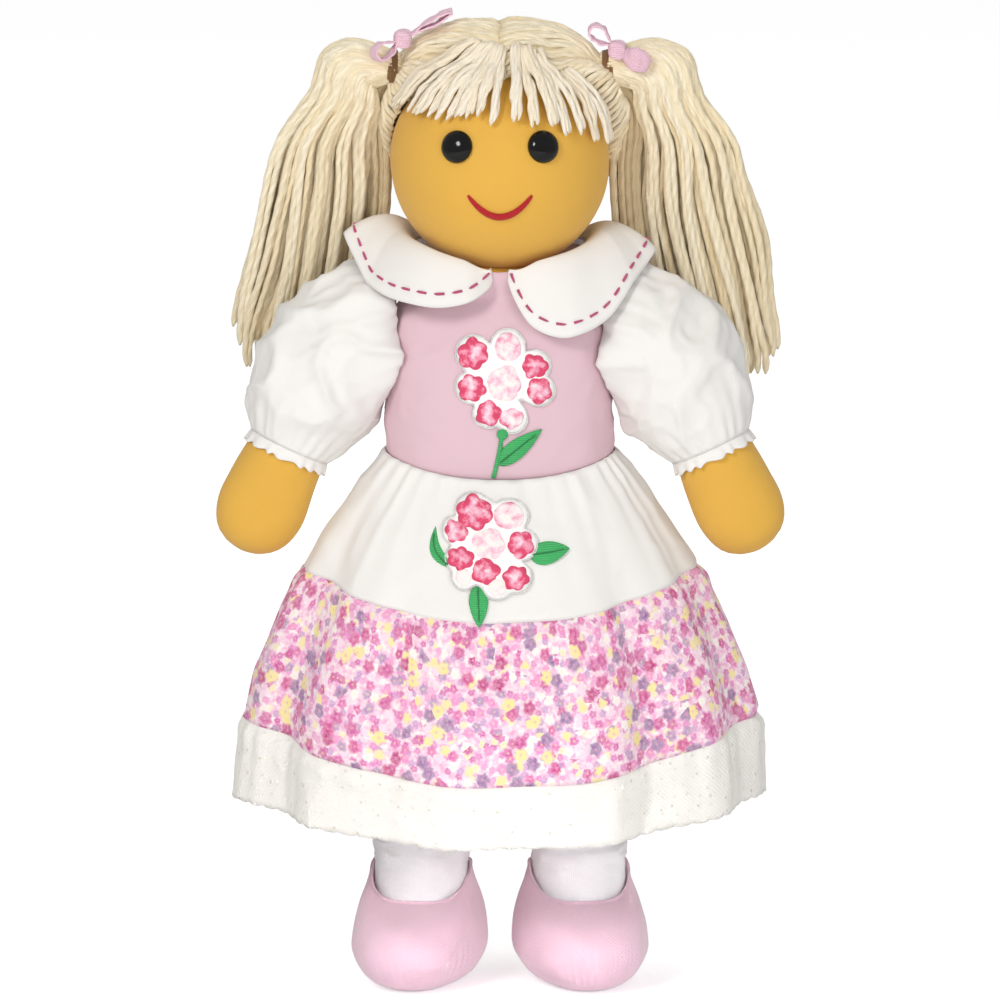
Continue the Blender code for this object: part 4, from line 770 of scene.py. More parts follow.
def finish(name):
    """The doll's finishes by name, each made once."""
    known = bpy.data.materials.get(name)
    if known:
        return known
    c = colours()
    maker, *values = {
        "calico": (cotton, linear("#E6DCC4"), 0.10),
        "mustard_cotton": (cotton, c.skin, 0.06, 0.00002, 0.8),
        "white_cotton": (cotton, c.white, 0.03, 0.00007),
        # Wig backing: the shaded yarn darker still, painted shade under the strands
        "wig_backing": (cotton, rgba(c.hair_shaded, 0.80), 0.10),
        "edge_thread": (cotton, linear("#FCFAF8"), 0.02),
        "pink_linen": (slubbed_linen, c.linen),
        "ditsy_print": (ditsy_print,),
        "broderie_anglaise": (eyelet_cotton, c.white),
        # Each yarn: a lit tone, a tone in painted shade and a deeper painted shade for gaps
        "hair_yarn": (two_ply_yarn, c.hair, c.hair_shaded, c.hair_gap_shade),
        "fringe_yarn": (two_ply_yarn, linear("#FFF7E8"), linear("#FAEACC"), c.hair_gap_shade),
        "tie_thread": (two_ply_yarn, linear("#B08A5C"), linear("#8F6A42"), linear("#5F4228")),
        "bow_ribbon": (knitted, c.bow, 0.00012),
        "sock_knit": (knitted, c.sock, 0.00006),
        "shoe_cloth": (brushed_cloth, c.shoe),
        "running_stitch": (satin_stitch, c.stitching, 0.5),
        "mouth_thread": (satin_stitch, c.mouth),
        "leaf_felt": (satin_stitch, c.leaf, 0.9),
        "leaf_vein": (satin_stitch, rgba(c.leaf, 0.55), 0.6),
        "petal_print": (printed_petal, c.petal, c.petal_deep),
        "eye_plastic": (polished_eye,),
        "washer_plastic": (moulded_plastic,),
    }[name]
    return maker(name, *values)


# Places on the doll


def head_centre():
    return HEAD_PIVOT + Vector((0, 0, sizes().head_rise))


def egg_point(polar, turn, width, depth, height):
    """Point of an egg round the head's middle: polar from its crown, turn from its face, in degrees."""
    b, a = radians(polar), radians(turn)
    way = (width * sin(b) * sin(a), -depth * sin(b) * cos(a), height * cos(b))
    return head_centre() + Vector(way)


def head_point(polar, turn, out=0.0):
    s = sizes()
    return egg_point(polar, turn, s.head_half_width + out, s.head_half_depth + out, s.head_half_height + out)


def on_face(x, rise, out=0.0):
    """Point on the face at a distance sideways and up from the head's middle."""
    s = sizes()
    polar = acos(rise / s.head_half_height)
    turn = asin(x / (s.head_half_width * sin(polar)))
    return head_point(degrees(polar), degrees(turn), out)


def body_point(angle, share, out=0.0):
    """Point on the body at a share of its height, moved out along its surface's normal."""
    half_width, half_depth = BODY_HIGH.x, BODY_HIGH.y
    reach = BODY_HIGH.z - BODY_LOW.z

    def at(a, s):
        width, depth = blended(BODY_SHARES, s)
        x, y = oval(a, BODY_SQUARENESS)
        return Vector((x * width * half_width, y * depth * half_depth, BODY_LOW.z + s * reach))

    step = 1e-3
    turn = at(angle + step, share) - at(angle - step, share)
    rise = at(angle, min(share + step, 1.0)) - at(angle, share - step)
    return at(angle, share) + out * turn.cross(rise).normalized()


def body_share(z):
    return (z - BODY_LOW.z) / (BODY_HIGH.z - BODY_LOW.z)


def waist_z():
    return HIP_PIVOT.z + sizes().waist_above_hip


def arm_axis(side):
    out, forward = radians(24.8), radians(4.0)
    down = -cos(out) * cos(forward)
    return Vector((side * sin(out), -sin(forward) * cos(out), down)).normalized()


def arm_section(side):
    """Half-size directions of the arm: in the plane of the doll, and front to back."""
    axis = arm_axis(side)
    depth = (Vector((0, 1, 0)) - axis.y * axis).normalized()
    across = axis.cross(depth).normalized()
    return (across if across.x * side > 0 else -across), depth


def dress(piece, body, *nodes, slot=None):
    """Let a piece ride on a body and stand for its nodes."""
    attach(piece, body)
    return stand_for(piece, *nodes, slot=slot)


def stand_for(piece, *nodes, slot=None):
    if nodes:
        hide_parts(*nodes)
    return piece


def flat_sheet(piece, rows, held, **more):
    """Work out how large a cloth is when flat, its widest row and its height, without keeping it."""
    around, down = spans(rows)


def drape_over_hips(piece):
    """Bake the piece's placement into its mesh."""
    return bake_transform(piece)


def on_bodice(x, z, out=0.0):
    """Point in front of the bodice at a place sideways and a height."""
    s = sizes()
    share = min(body_share(z), 0.985)
    half_width = blended(BODY_SHARES, share)[0] * BODY_HIGH.x
    level = min(abs(x) / half_width, 1.0) ** 1.15
    angle = 1.5 * pi + copysign(asin(level), x)
    return body_point(angle, share, s.ease + s.cloth + out)


def skirt_fold(angle, share):
    """How far the skirt's folds stand out: large ones to the hem, small gathers below each seam."""
    s = sizes()
    a = angle % (2 * pi)
    flatter = 1 - 0.85 * exp(-(((a - 1.5 * pi) / 0.38) ** 2))
    wave = cos(11 * a + 0.6) + 0.4 * cos(7 * a + 2.1)
    calm = flatter + (1 - flatter) * smooth((share - 0.33) / 0.14)
    large = s.skirt_fold * min(1.6 * share, 1.0) * wave * calm
    around = level_way(a)
    drift = 2.2 * rumple(2.0 * around + Vector((0, 0, share)), 0.9, 3.0)
    middle = cos(23 * a + drift) * (0.3 + 0.7 * abs(rumple(3 * around, 0.8, 7.0)))
    medium = 0.0013 * middle * min(2.0 * share, 1.0) * (0.5 * flatter + 0.5)
    return large + medium


def gather(angle, below, count, depth, reach, seed):
    """Small pleats that die out below a gathered seam, uneven in depth from one to the next."""
    around = level_way(angle)
    uneven = 0.35 + 0.65 * abs(rumple(around, 0.22, seed))
    drift = 2.5 * rumple(around, 0.5, seed + 5)
    fade = exp(-below / (reach * (0.5 + uneven)))
    return depth * uneven * fade * cos(count * angle + drift + 6 * below / reach * 0.1)


def skirt_point(angle, share, extra=0.0):
    """Point on the skirt's outer cloth: angle round from +X, share of the way to the hem."""
    s = sizes()
    start = body_point(angle, body_share(waist_z()), s.ease + s.cloth)
    x, y = cos(angle), sin(angle)
    front = y * y
    flare = 1 - max(1 - share, 0.0) ** 1.95
    place = start.lerp(Vector((x * s.hem_half_width, y * s.hem_half_depth, start.z)), flare)
    place.z = waist_z() - s.waist_dip * front - (s.skirt_length + s.skirt_front_extra * front) * share
    away = Vector((x / s.hem_half_width, y / s.hem_half_depth, 0)).normalized()
    return place + (skirt_fold(angle, share) + extra) * away


def on_skirt(x, drop, out=0.0):
    """Point on the front of the skirt at a place sideways and a drop below the waist seam."""
    s = sizes()
    front = 1.5 * pi
    share = drop / (s.skirt_length + s.skirt_front_extra)
    middle = skirt_point(front, share)
    angle = front + x / abs(middle.y) * 0.72
    step = 0.02
    turn = skirt_point(angle + step, share) - skirt_point(angle - step, share)
    rise = skirt_point(angle, share - step) - skirt_point(angle, share + step)
    return skirt_point(angle, share) + out * turn.cross(rise).normalized()


def hairline(turn):
    """Polar angle of the wig's edge, low at the nape and high over the forehead."""
    side = abs((turn + 180.0) % 360.0 - 180.0)
    return 37.0 + 91.0 * smooth((side - 45.0) / 110.0)


def scalp(polar, turn, out=0.0):
    """Middle of the wig's top layer of yarn."""
    s = sizes()
    edge = head_point(polar, turn, s.yarn_radius + 0.0012 + out)
    full = egg_point(polar, turn, s.hair_half_width + out, s.hair_half_depth + out, s.hair_half_height + out)
    b, a = radians(polar), radians(turn)
    # The crown is squarer than the head below it
    x, z = abs(sin(b) * sin(a)), max(cos(b), 0.0)
    square = hypot(x, z) / (x**2.9 + z**2.9) ** (1 / 2.9)
    middle = head_centre()
    square = 1 + (square - 1) * smooth(z / 0.3)
    full.x *= square
    full.z = middle.z + (full.z - middle.z) * square
    return edge.lerp(full, smooth((1.0 - polar / hairline(turn)) / 0.40))


def heading(polar, turn):
    b, a = radians(polar), radians(turn)
    return Vector((sin(b) * sin(a), -sin(b) * cos(a), cos(b)))


def scalp_path(start, end, steps, out, reach=1.0):
    """Shortest way over the wig from one (polar, turn) to another."""
    a, b = heading(*start), heading(*end)
    places = []
    for k in range(steps):
        way = a.slerp(b, reach * k / (steps - 1))
        polar = degrees(acos(min(max(way.z, -1.0), 1.0)))
        turn = degrees(atan2(way.x, -way.y))
        places.append(scalp(polar, turn, out(k / (steps - 1))))
    return places


def tie_centre(side, share=0.5):
    """Middle of a hair tie, at a share of its length from the wig."""
    low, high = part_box("hair_tie_left")
    x = low.x + share * (high.x - low.x)
    return Vector((side * x, TIE_CENTRE.y, TIE_CENTRE.z))


# Operators, one to a group of pieces


class DOLL_OT_head(bpy.types.Operator):
    """Make the neck, the head, its eyes and its smile"""

    bl_idname = "doll.head"
    bl_label = "Head"

    def execute(self, context):
        s = sizes()
        skin = finish("mustard_cotton")
        neck_low, neck_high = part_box("neck")
        radius = neck_high.x
        stem = NECK_STEM * radius
        centre_z = neck_high.z - radius
        start = acos(min((centre_z - BODY_HIGH.z) / radius, 1.0))
        outline = [(neck_low.z, 0.96 * stem), (neck_low.z + 0.0006, stem), (BODY_HIGH.z + 0.0003, stem)]
        for angle in (start + (pi - start) * i / 14 for i in range(14)):
            outline.append((centre_z - radius * cos(angle), radius * sin(angle)))
        rings = [ring((0, 0, z), (r, 0, 0), (0, r, 0), 48) for z, r in outline]
        dress(solid_piece("stuffed_neck", rings, skin), "neck", "neck")
        socket = radius + s.ease
        edge = 180.0
        while (head_point(edge, 0.0) - HEAD_PIVOT).length < socket:
            edge -= 0.25
        start = degrees(acos((head_point(edge, 0.0).z - HEAD_PIVOT.z) / socket))

        def outside(polar, turn):
            place = head_point(polar, turn)
            return place + 0.00022 * rumple(place, 0.016) * heading(polar, turn)

        def in_socket(share, turn):
            return HEAD_PIVOT + socket * heading(share * start, turn)

        turns = circle(120, 360.0)
        rings = grid([edge * j / 72 for j in range(1, 73)], turns, outside)
        rings += grid((0.94, 0.70, 0.45, 0.18), turns, in_socket)
        head = solid_piece("stuffed_head", [row[::-1] for row in rings], skin)
        dress(head, "head", "head")
        for side, word in SIDES:
            self.eye(side, word)
        self.mouth()
        return {"FINISHED"}

    def eye(self, side, word):
        s = sizes()
        place = on_face(side * s.eye_spacing / 2, s.eye_rise)
        out = (on_face(side * s.eye_spacing / 2, s.eye_rise, 0.01) - place).normalized()
        across = out.orthogonal().normalized()
        along = out.cross(across)
        outline = [(-0.0080, 0.0015), (-0.0006, 0.0015), (-0.0006, 0.90 * s.eye_radius)]
        outline.append((0.0002, s.eye_radius))
        for i in range(1, 16):
            angle = radians(90.0 * i / 16)
            rise = 0.0003 + s.eye_height * sin(angle)
            outline.append((rise, s.eye_radius * cos(angle) ** 0.92))
        rings = [ring(place + d * out, r * across, r * along, 48) for d, r in outline]
        dress(solid_piece(f"domed_eye_{word}", rings, finish("eye_plastic")), "head", f"eye_{word}")
        for held in bpy.data.objects[f"eye_washer_{word}"].material_slots:
            held.material = finish("washer_plastic")

    def mouth(self):
        """Satin-stitched smile, full in the middle and thin at its corners."""
        s = sizes()
        rings = []
        for i in range(61):
            u = -1 + 2 * i / 60
            x, rise = s.mouth_half_width * u, -s.mouth_drop + s.mouth_curve * u * u
            radius = s.mouth_radius * (0.26 + 0.74 * sqrt(max(1 - u * u, 0.0)))
            centre = on_face(x, rise, 0.45 * radius)
            out = (centre - on_face(x, rise)).normalized()
            slope = Vector((1, 0, 2 * s.mouth_curve * u / s.mouth_half_width)).normalized()
            up = out.cross(slope).normalized()
            rings.append(ring(centre, 0.62 * radius * out, radius * up, 16))
        dress(solid_piece("stitched_smile", rings, finish("mouth_thread")), "head", "mouth")


class DOLL_OT_wig(bpy.types.Operator):
    """Lay the wig's yarn from the parting to both ties, with the fringe over the forehead"""

    bl_idname = "doll.wig"
    bl_label = "Wig"

    def execute(self, context):
        dice = random.Random(4)

        def lining(share, turn):
            return scalp(hairline(turn) * share * 0.985, turn, -0.0007)

        rows = grid(shares(24)[1:], circle(72, 360.0), lining)
        # The backing under the strands is painted shade: yarn colour darkened, seen in the gaps
        base = cloth_piece("wig_base", rows, finish("wig_backing"), closed=True, thickness=0.0008)
        dress(base, "head", slot="hair")
        strands = []
        for side, word in SIDES:
            strands += self.side_strands(side, dice)
        cap = yarn_piece("wig_yarn", strands, finish("hair_yarn"), 0.0034, (0.22, 0.4))
        dress(cap, "head", "hair_cap")
        strands = self.fringe_strands(dice)
        fringe = yarn_piece("fringe_yarn", strands, finish("fringe_yarn"), 0.0020, (0.2, 0.0))
        dress(fringe, "head", "fringe")
        for side, word in SIDES:
            self.tie(side, word)
        return {"FINISHED"}

    def side_strands(self, side, dice):
        s = sizes()
        starts = []
        for i in range(72):
            along = -hairline(0) + (hairline(0) + 126.0) * i / 71
            starts.append((abs(along), 0.0 if along < 0 else 180.0, 0.0))
        for i in range(1, 50):
            turn = 180.0 - 138.0 * i / 49
            full = 0.0078 if side > 0 else 0.0042
            swell = 0.0016 + (full - 0.0016) * smooth((turn - 50.0) / 30.0)
            starts.append((hairline(turn) - 1.5, turn, swell * smooth((180.0 - turn) / 60.0)))
        centre = tie_centre(side, 0.35)
        strands = []
        for k, (polar, turn, swell) in enumerate(starts):
            layer = (k * 7 % 5) / 4
            lift = (dice.random() - 0.5) * 0.0012

            def out(t, layer=layer, lift=lift, swell=swell):
                tuck = -0.0018 * (1 - smooth(t / 0.10))
                bulge = swell * sin(pi * min(t / 0.9, 1.0))
                return tuck + lift + bulge - 0.0016 * layer * smooth((t - 0.35) / 0.65)

            first = (polar, side * max(turn, 0.01))
            path = scalp_path(first, (53.9, side * 92.5), 12, out, 0.90)
            way = path[-2] - centre
            way.x = 0.0
            rim = centre + (0.0030 + 0.0042 * (1 - 0.5 * layer)) * way.normalized()
            path += [path[-1].lerp(rim, 0.55), rim]
            wobble = dice.random() * 20
            for i in range(2, len(path) - 2):
                shift = Vector((0, noise.noise((wobble, i * 0.35, 0)), noise.noise((i * 0.35, wobble, 3))))
                path[i] = path[i] + 0.0014 * shift
            shade = 0.50 + 0.50 * dice.random()
            strands.append((path, s.yarn_radius * (0.86 + 0.14 * dice.random()), shade))
        return strands

    # Each lock of the fringe: place of its tip on the face sideways and above the head's middle, and of
    # its root from the crown and from the face, in millimetres and degrees, and its number of strands
    LOCKS = (
        (-42.0, 21.2, 27.0, -30.0, 3), (-38.6, 22.2, 27.0, -24.0, 3), (-35.0, 21.8, 27.0, -19.0, 3),
        (-31.5, 21.4, 27.0, -15.0, 3), (-28.0, 21.6, 27.0, -12.0, 3), (-24.3, 20.5, 27.0, -9.0, 3),
        (-20.6, 21.2, 27.0, -7.0, 3), (-16.6, 22.1, 27.0, -5.0, 3), (-12.6, 22.5, 27.0, -3.0, 3),
        (-8.0, 23.1, 27.0, -1.0, 3), (-2.8, 20.5, 27.0, 1.0, 3), (6.2, 21.2, 27.0, 15.0, 3),
        (13.9, 19.2, 27.0, 19.0, 3), (21.3, 18.8, 28.0, 24.0, 3), (27.2, 14.9, 29.0, 30.0, 3),
        (32.0, 14.4, 30.0, 36.0, 2), (38.6, 11.2, 38.0, 52.0, 3), (42.8, 8.8, 39.0, 58.0, 3),
    )

    def fringe_strands(self, dice):
        s = sizes()
        strands = []
        for k, (x, rise, root, root_turn, count) in enumerate(self.LOCKS):
            for n in range(count):
                offset = n - (count - 1) / 2
                tip_x = x * MILLIMETRE + 0.0010 * offset
                tip_rise = rise * MILLIMETRE + 0.0022 * (dice.random() if n else 0.0)
                polar = degrees(acos(tip_rise / s.head_half_height))
                level = tip_x / (s.head_half_width * sin(radians(polar)))
                turn = degrees(asin(min(max(level, -0.99), 0.99)))
                start = (root + 1.5 * dice.random(), root_turn + 3.0 * offset)
                stack = 0.0018 + 0.0014 * (k % 2) + 0.0006 * (n % 2) + 0.0016 * smooth((-x - 25.0) / 12.0)

                def out(t, stack=stack):
                    arch = 0.0016 * sin(pi * min(t * 1.2, 1.0))
                    return stack + arch - 0.0010 * smooth((t - 0.6) / 0.4)

                path = scalp_path(start, (polar, turn), 9, out)
                wobble = dice.random() * 20
                for i in range(1, len(path)):
                    shift = Vector((noise.noise((wobble, i * 0.5, 0)), 0, noise.noise((i * 0.5, wobble, 3))))
                    path[i] = path[i] + 0.0016 * sin(pi * i / 9) * shift
                radius = s.yarn_radius * (0.80 + 0.15 * dice.random())
                strands.append((path, radius, 0.55 + 0.45 * dice.random()))
        return strands

    def tie(self, side, word):
        """Brown thread wound seven times round the root of a bunch."""
        path = []
        for share in shares(7 * 14):
            angle = 2 * pi * 7 * share
            radius = 0.0068 + 0.0003 * sin(3.1 * angle)
            turn = Vector((0, radius * cos(angle), radius * sin(angle)))
            path.append(tie_centre(side, 0.12 + 0.76 * share) + turn)
        piece = yarn_piece(f"wound_tie_{word}", [(path, 0.0009, 0.3)], finish("tie_thread"), 0.0012)
        dress(piece, f"tie_{word}", f"hair_tie_{word}")


class DOLL_OT_bunches(bpy.types.Operator):
    """Let a bunch of loose yarn fall from each tie"""

    bl_idname = "doll.bunches"
    bl_label = "Bunches"

    # Places of a slack strand below its tie, in metres
    SLACK = ((0.0490, 0.008, 0.376), (0.0478, 0.016, 0.352), (0.0486, 0.023, 0.330), (0.0510, 0.027, 0.309))

    def execute(self, context):
        s = sizes()
        for side, word in SIDES:
            dice = random.Random(10 + side)
            frames = self.frames(side)
            strands = []
            clumps = 15
            for c in range(clumps):
                middle = 2 * pi * (c + 0.5 * (dice.random() - 0.5)) / clumps
                for n in range(5):
                    offset = (n - 2) * 1.25 * pi / clumps / 2.5
                    strands.append(self.strand(side, frames, middle, offset, 1.0, c, dice))
            # Inner strands fill the core with low shades: painted shade deep in the bunch
            for i in range(34):
                middle = 2 * pi * (i + dice.random()) / 34
                strands.append(self.strand(side, frames, middle, 0.0, 0.76 - 0.3 * (i % 2), i, dice))
            # Slack strands hang straight down behind the cheek, and stay down when the bunch lifts. Their low
            # shade is painted shade, as they hang in the bunch's shadow.
            slack = []
            for i in range(34):
                spread, deep = dice.random(), dice.random()
                spread *= 1.6 if side > 0 else 1.0
                path = [tie_centre(side, 0.6)]
                for x, y, z in self.SLACK:
                    path.append(Vector((side * (x + 0.0080 * spread), y + 0.008 * deep, z - 0.002 * deep)))
                slack.append((path, s.yarn_radius, 0.18 + 0.25 * dice.random()))
            under = yarn_piece(f"slack_yarn_{word}", slack, finish("hair_yarn"), 0.0044, (0.5, 0.0))
            dress(under, f"tie_{word}", slot="hair")
            piece = yarn_piece(f"loose_yarn_{word}", strands, finish("hair_yarn"), 0.0040, (0.5, 0.0))
            stand_for(piece, f"pigtail_{word}")
            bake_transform(piece)
        return {"FINISHED"}

    def frames(self, side):
        """Middle, half width and half depth of the bunch at places along it."""
        s = sizes()
        pivot = PIVOTS["pigtail_left_lift"]
        rows = [
            (tie_centre(1, 0.2), Vector((0, 0, 1)), 0.0052, 0.0052),
            (pivot + Vector((0, 0, 0.0015)), Vector((0.38, 0, 0.92)), 0.0105, 0.0090),
            (pivot + Vector((0.0060, 0, -0.0030)), Vector((0.80, 0, 0.60)), 0.0140, 0.0112),
        ]
        for k, (drop, reach, back, width, depth) in enumerate(BUNCH_SHARES):
            centre = pivot + Vector((reach * s.bunch_reach, back * s.bunch_back, -drop * s.bunch_drop))
            across = Vector((0.97, 0, 0.25)) if k == 0 else Vector((1, 0, 0))
            half_width, half_depth = width * s.bunch_half_width, depth * s.bunch_half_depth
            rows.append((centre, across, half_width - 0.0012, half_depth - 0.0012))
        placed = []
        for k, (centre, across, half_width, half_depth) in enumerate(rows):
            # The bunch on the doll's left falls a little further out
            out = 0.0056 * smooth(k / 2.4) if side > 0 else 0.0
            middle = Vector((side * (centre.x + out), centre.y, centre.z))
            across = Vector((side * across.x, 0, across.z)).normalized()
            placed.append((middle, half_width * across, half_depth * Vector((0, 1, 0))))
        return placed

    def strand(self, side, frames, middle, offset, shell, clump, dice):
        """One strand of a clump, the clump's strands winding slowly round each other as they fall."""
        s = sizes()
        outer = max(cos(middle), 0.0) ** 2.2
        last = len(frames) - 1
        tracks = list(zip(*frames))
        reach = last - (1.6 if side < 0 else 1.1) * outer - 0.75 * dice.random() ** 2
        steps = 16
        path = []
        seed = dice.random() * 3
        phase = dice.random() * 6
        for k in range(steps):
            share = reach * k / (steps - 1)
            centre, across, depth = (curve_point(track, share) for track in tracks)
            loose = smooth((k - 2) / 6)
            drift = 0.12 * loose * rumple((clump * 2.3, 0.16 * k, 0.0), 1.0, side)
            angle = middle + drift + offset * (1 - 0.42 * loose)
            size = shell * (1 - loose * (0.9 * offset * offset * 10 + 0.05 * sin(phase + 0.5 * k)))
            size *= 1 - 0.10 * loose * abs(rumple((clump * 1.7, 0.12 * k, 4.0), 1.0, side))
            place = centre + size * (cos(angle) * across + sin(angle) * depth)
            wander = Vector((noise.noise((seed, 0.5 * k, 0)), noise.noise((0.5 * k, seed, 0)), 0))
            path.append(place + 0.0016 * loose * wander)
        radius = s.yarn_radius * (1.02 + 0.18 * dice.random())
        # Outer strands get a random shade; inner ones a low one, painted shade
        return path, radius, (0.55 + 0.45 * dice.random()) if shell == 1.0 else 0.20 + 0.30 * dice.random()


class DOLL_OT_bows(bpy.types.Operator):
    """Tie a ribbon bow at each side of the head"""

    bl_idname = "doll.bows"
    bl_label = "Bows"

    # Each loop of a bow: its direction, length, opening, half width of ribbon, and whether it lies flat
    LOOPS = {
        "inner_left": ((-0.74, -0.10, 0.66), 0.0130, 0.0031, 0.0029, False),
        "outer_left": ((0.84, -0.46, -0.36), 0.0140, 0.0009, 0.0050, True),
        "inner_right": ((0.87, -0.05, 0.50), 0.0220, 0.0014, 0.0031, False),
        "outer_right": ((-0.78, -0.50, -0.42), 0.0135, 0.0033, 0.0029, False),
    }

    def execute(self, context):
        for side, word in SIDES:
            low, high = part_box(f"bow_knot_{word}")
            shift = (0.0040, 0, -0.0012) if side > 0 else (0.0045, 0, 0.0036)
            knot = (low + high) / 2 + Vector(shift)
            self.knot(knot, word)
            for place in ("inner", "outer"):
                self.loop(knot, place, word)
        return {"FINISHED"}

    def knot(self, knot, word):
        """Tight square knot, creased where the ribbon crosses itself."""
        half = 0.0040

        def point(i, angle):
            b = pi * i / 20
            x, y = oval(angle, 3.0)
            radius = half * sin(b) ** 0.55 * (1 + 0.10 * cos(4 * angle + 5 * i / 20))
            return knot + Vector((half * cos(b), radius * x, radius * y))

        rings = grid(range(1, 20), circle(36), point)
        piece = solid_piece(f"ribbon_knot_{word}", rings, finish("bow_ribbon"))
        dress(piece, f"tie_{word}", f"bow_knot_{word}")

    def loop(self, knot, place, word):
        """One loop, a ribbon that leaves the knot and comes back to it."""
        direction, reach, opening, half_width, flat = self.LOOPS[f"{place}_{word}"]
        direction = Vector(direction).normalized()
        across = direction.cross(Vector((0, 1, 0.12))).normalized()
        through = direction.cross(across).normalized()
        gap_way, ribbon_way = (through, across) if flat else (across, through)
        rows = []
        for i in range(45):
            angle = pi * (2 * i / 44 - 1)
            along = 0.5 * (1 + cos(angle))
            lateral = opening * 1.5 * sin(angle) * along**0.5
            centre = knot + (0.0026 + reach * along) * direction + lateral * gap_way
            round_end = sqrt(max(1 - max((along - 0.55) / 0.50, 0.0) ** 2, 0.05)) if flat else 1.0
            half = half_width * (0.42 + 0.58 * smooth(along / 0.45)) * round_end
            line = []
            for v in (-1 + 2 * j / 8 for j in range(9)):
                crumple = 0.0005 * rumple((7 * along, v, 3.0 if lateral > 0 else 8.0), 1.1)
                line.append(centre + half * v * ribbon_way + crumple * gap_way)
            rows.append(line)
        piece = cloth_piece(f"ribbon_loop_{place}_{word}", rows, finish("bow_ribbon"), thickness=0.0008)
        dress(piece, f"tie_{word}", f"bow_loop_{place}_{word}")
        length = running_lengths([row[4] for row in rows])[-1]


class DOLL_OT_bodice(bpy.types.Operator):
    """Make the stuffed body and the bodice over it"""

    bl_idname = "doll.bodice"
    bl_label = "Bodice"

    def execute(self, context):
        s = sizes()
        rings = grid([share**1.15 for share in shares(32)], circle(72), lambda v, angle: body_point(angle, v))
        neck_low, neck_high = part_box("neck")
        bore = NECK_STEM * neck_high.x + 0.0003
        rings += [ring((0, 0, z), (bore, 0, 0), (0, bore, 0), 72) for z in (BODY_HIGH.z, neck_low.z)]
        body = solid_piece("stuffed_body", rings, finish("calico"))
        dress(body, "torso", "body")
        linen, inside = finish("pink_linen"), (0, 0, BODY_HIGH.z - 0.04)
        for word, start in (("front", 180.0), ("back", 0.0)):
            angles = [radians(start + 0.25 + 179.5 * i / 60) for i in range(61)]
            rows = grid([1 - v for v in shares(44)], angles, self.point)
            panel = cloth_piece(f"bodice_{word}_cloth", rows, linen, inside=inside)
            dress(panel, "torso", f"bodice_{word}")

        def on_back(v, i):
            out = s.cloth + 0.0008 - 0.0003 * abs(i) / 3
            return self.point(v, pi / 2 + i * 0.026) + Vector((0, out, 0))

        rows = grid([0.985 - 0.97 * j / 44 for j in range(45)], range(-3, 4), on_back)
        placket = cloth_piece("bodice_placket", rows, linen, inside=inside)
        dress(placket, "torso", "back_placket")
        return {"FINISHED"}

    def point(self, v, angle):
        """Point on the bodice, from the waist seam up to the neckline under the collar."""
        s = sizes()
        low = body_share(waist_z() - s.waist_dip * sin(angle) ** 2 - 0.0018)
        shoulder, seam_at, top = 0.78, 0.93, 0.975
        if v <= shoulder:
            share = low + (top - low) * (v / shoulder) * (1.25 - 0.25 * v / shoulder)
            place = body_point(angle, share, s.ease + s.cloth)
            crumple = 0.0008 * crease(place, 0.013, 2.0) * smooth(v / 0.1)
            crumple += 0.0009 * rumple(place, 0.022, 4.0) * smooth(v / 0.06)
            near_arm = smooth((abs(place.x) / BODY_HIGH.x - 0.8) / 0.2) * smooth((v - 0.35) / 0.2)
            under_flower = exp(-((place.x / 0.024) ** 4)) if sin(angle) < 0 else 0.0
            crumple *= (1 - 0.7 * near_arm) * (1 - 0.85 * under_flower)
            crumple -= 0.0006 * (1 - smooth((v - 0.008) / 0.018))
            out = (place - Vector((0, 0, place.z))).normalized()
            return place + crumple * smooth((1.02 * shoulder - v) / 0.1) * out
        edge = body_point(angle, top, s.ease + s.cloth)
        seam = neck_opening(angle) - Vector((0, 0, 0.0010))
        if v <= seam_at:
            return edge.lerp(seam, (v - shoulder) / (seam_at - shoulder))
        # Under the collar the cloth turns in to the neck
        radius = NECK_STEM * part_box("neck")[1].x + 0.0016
        inner = Vector((radius * cos(angle), radius * sin(angle), BODY_HIGH.z + 0.0026))
        return seam.lerp(inner, (v - 0.93) / 0.07)


def neck_opening(angle):
    """Where the collar is sewn on, clear of the head's underside, at an angle round from +X."""
    side = abs(cos(angle))
    low, room = (146.0, 0.0) if sin(angle) < 0 else (157.0, 0.0038)
    polar = low - (low - 135.0) * smooth(side)
    return head_point(polar, degrees(angle) + 90.0, 0.0045 + room * (1 - side))


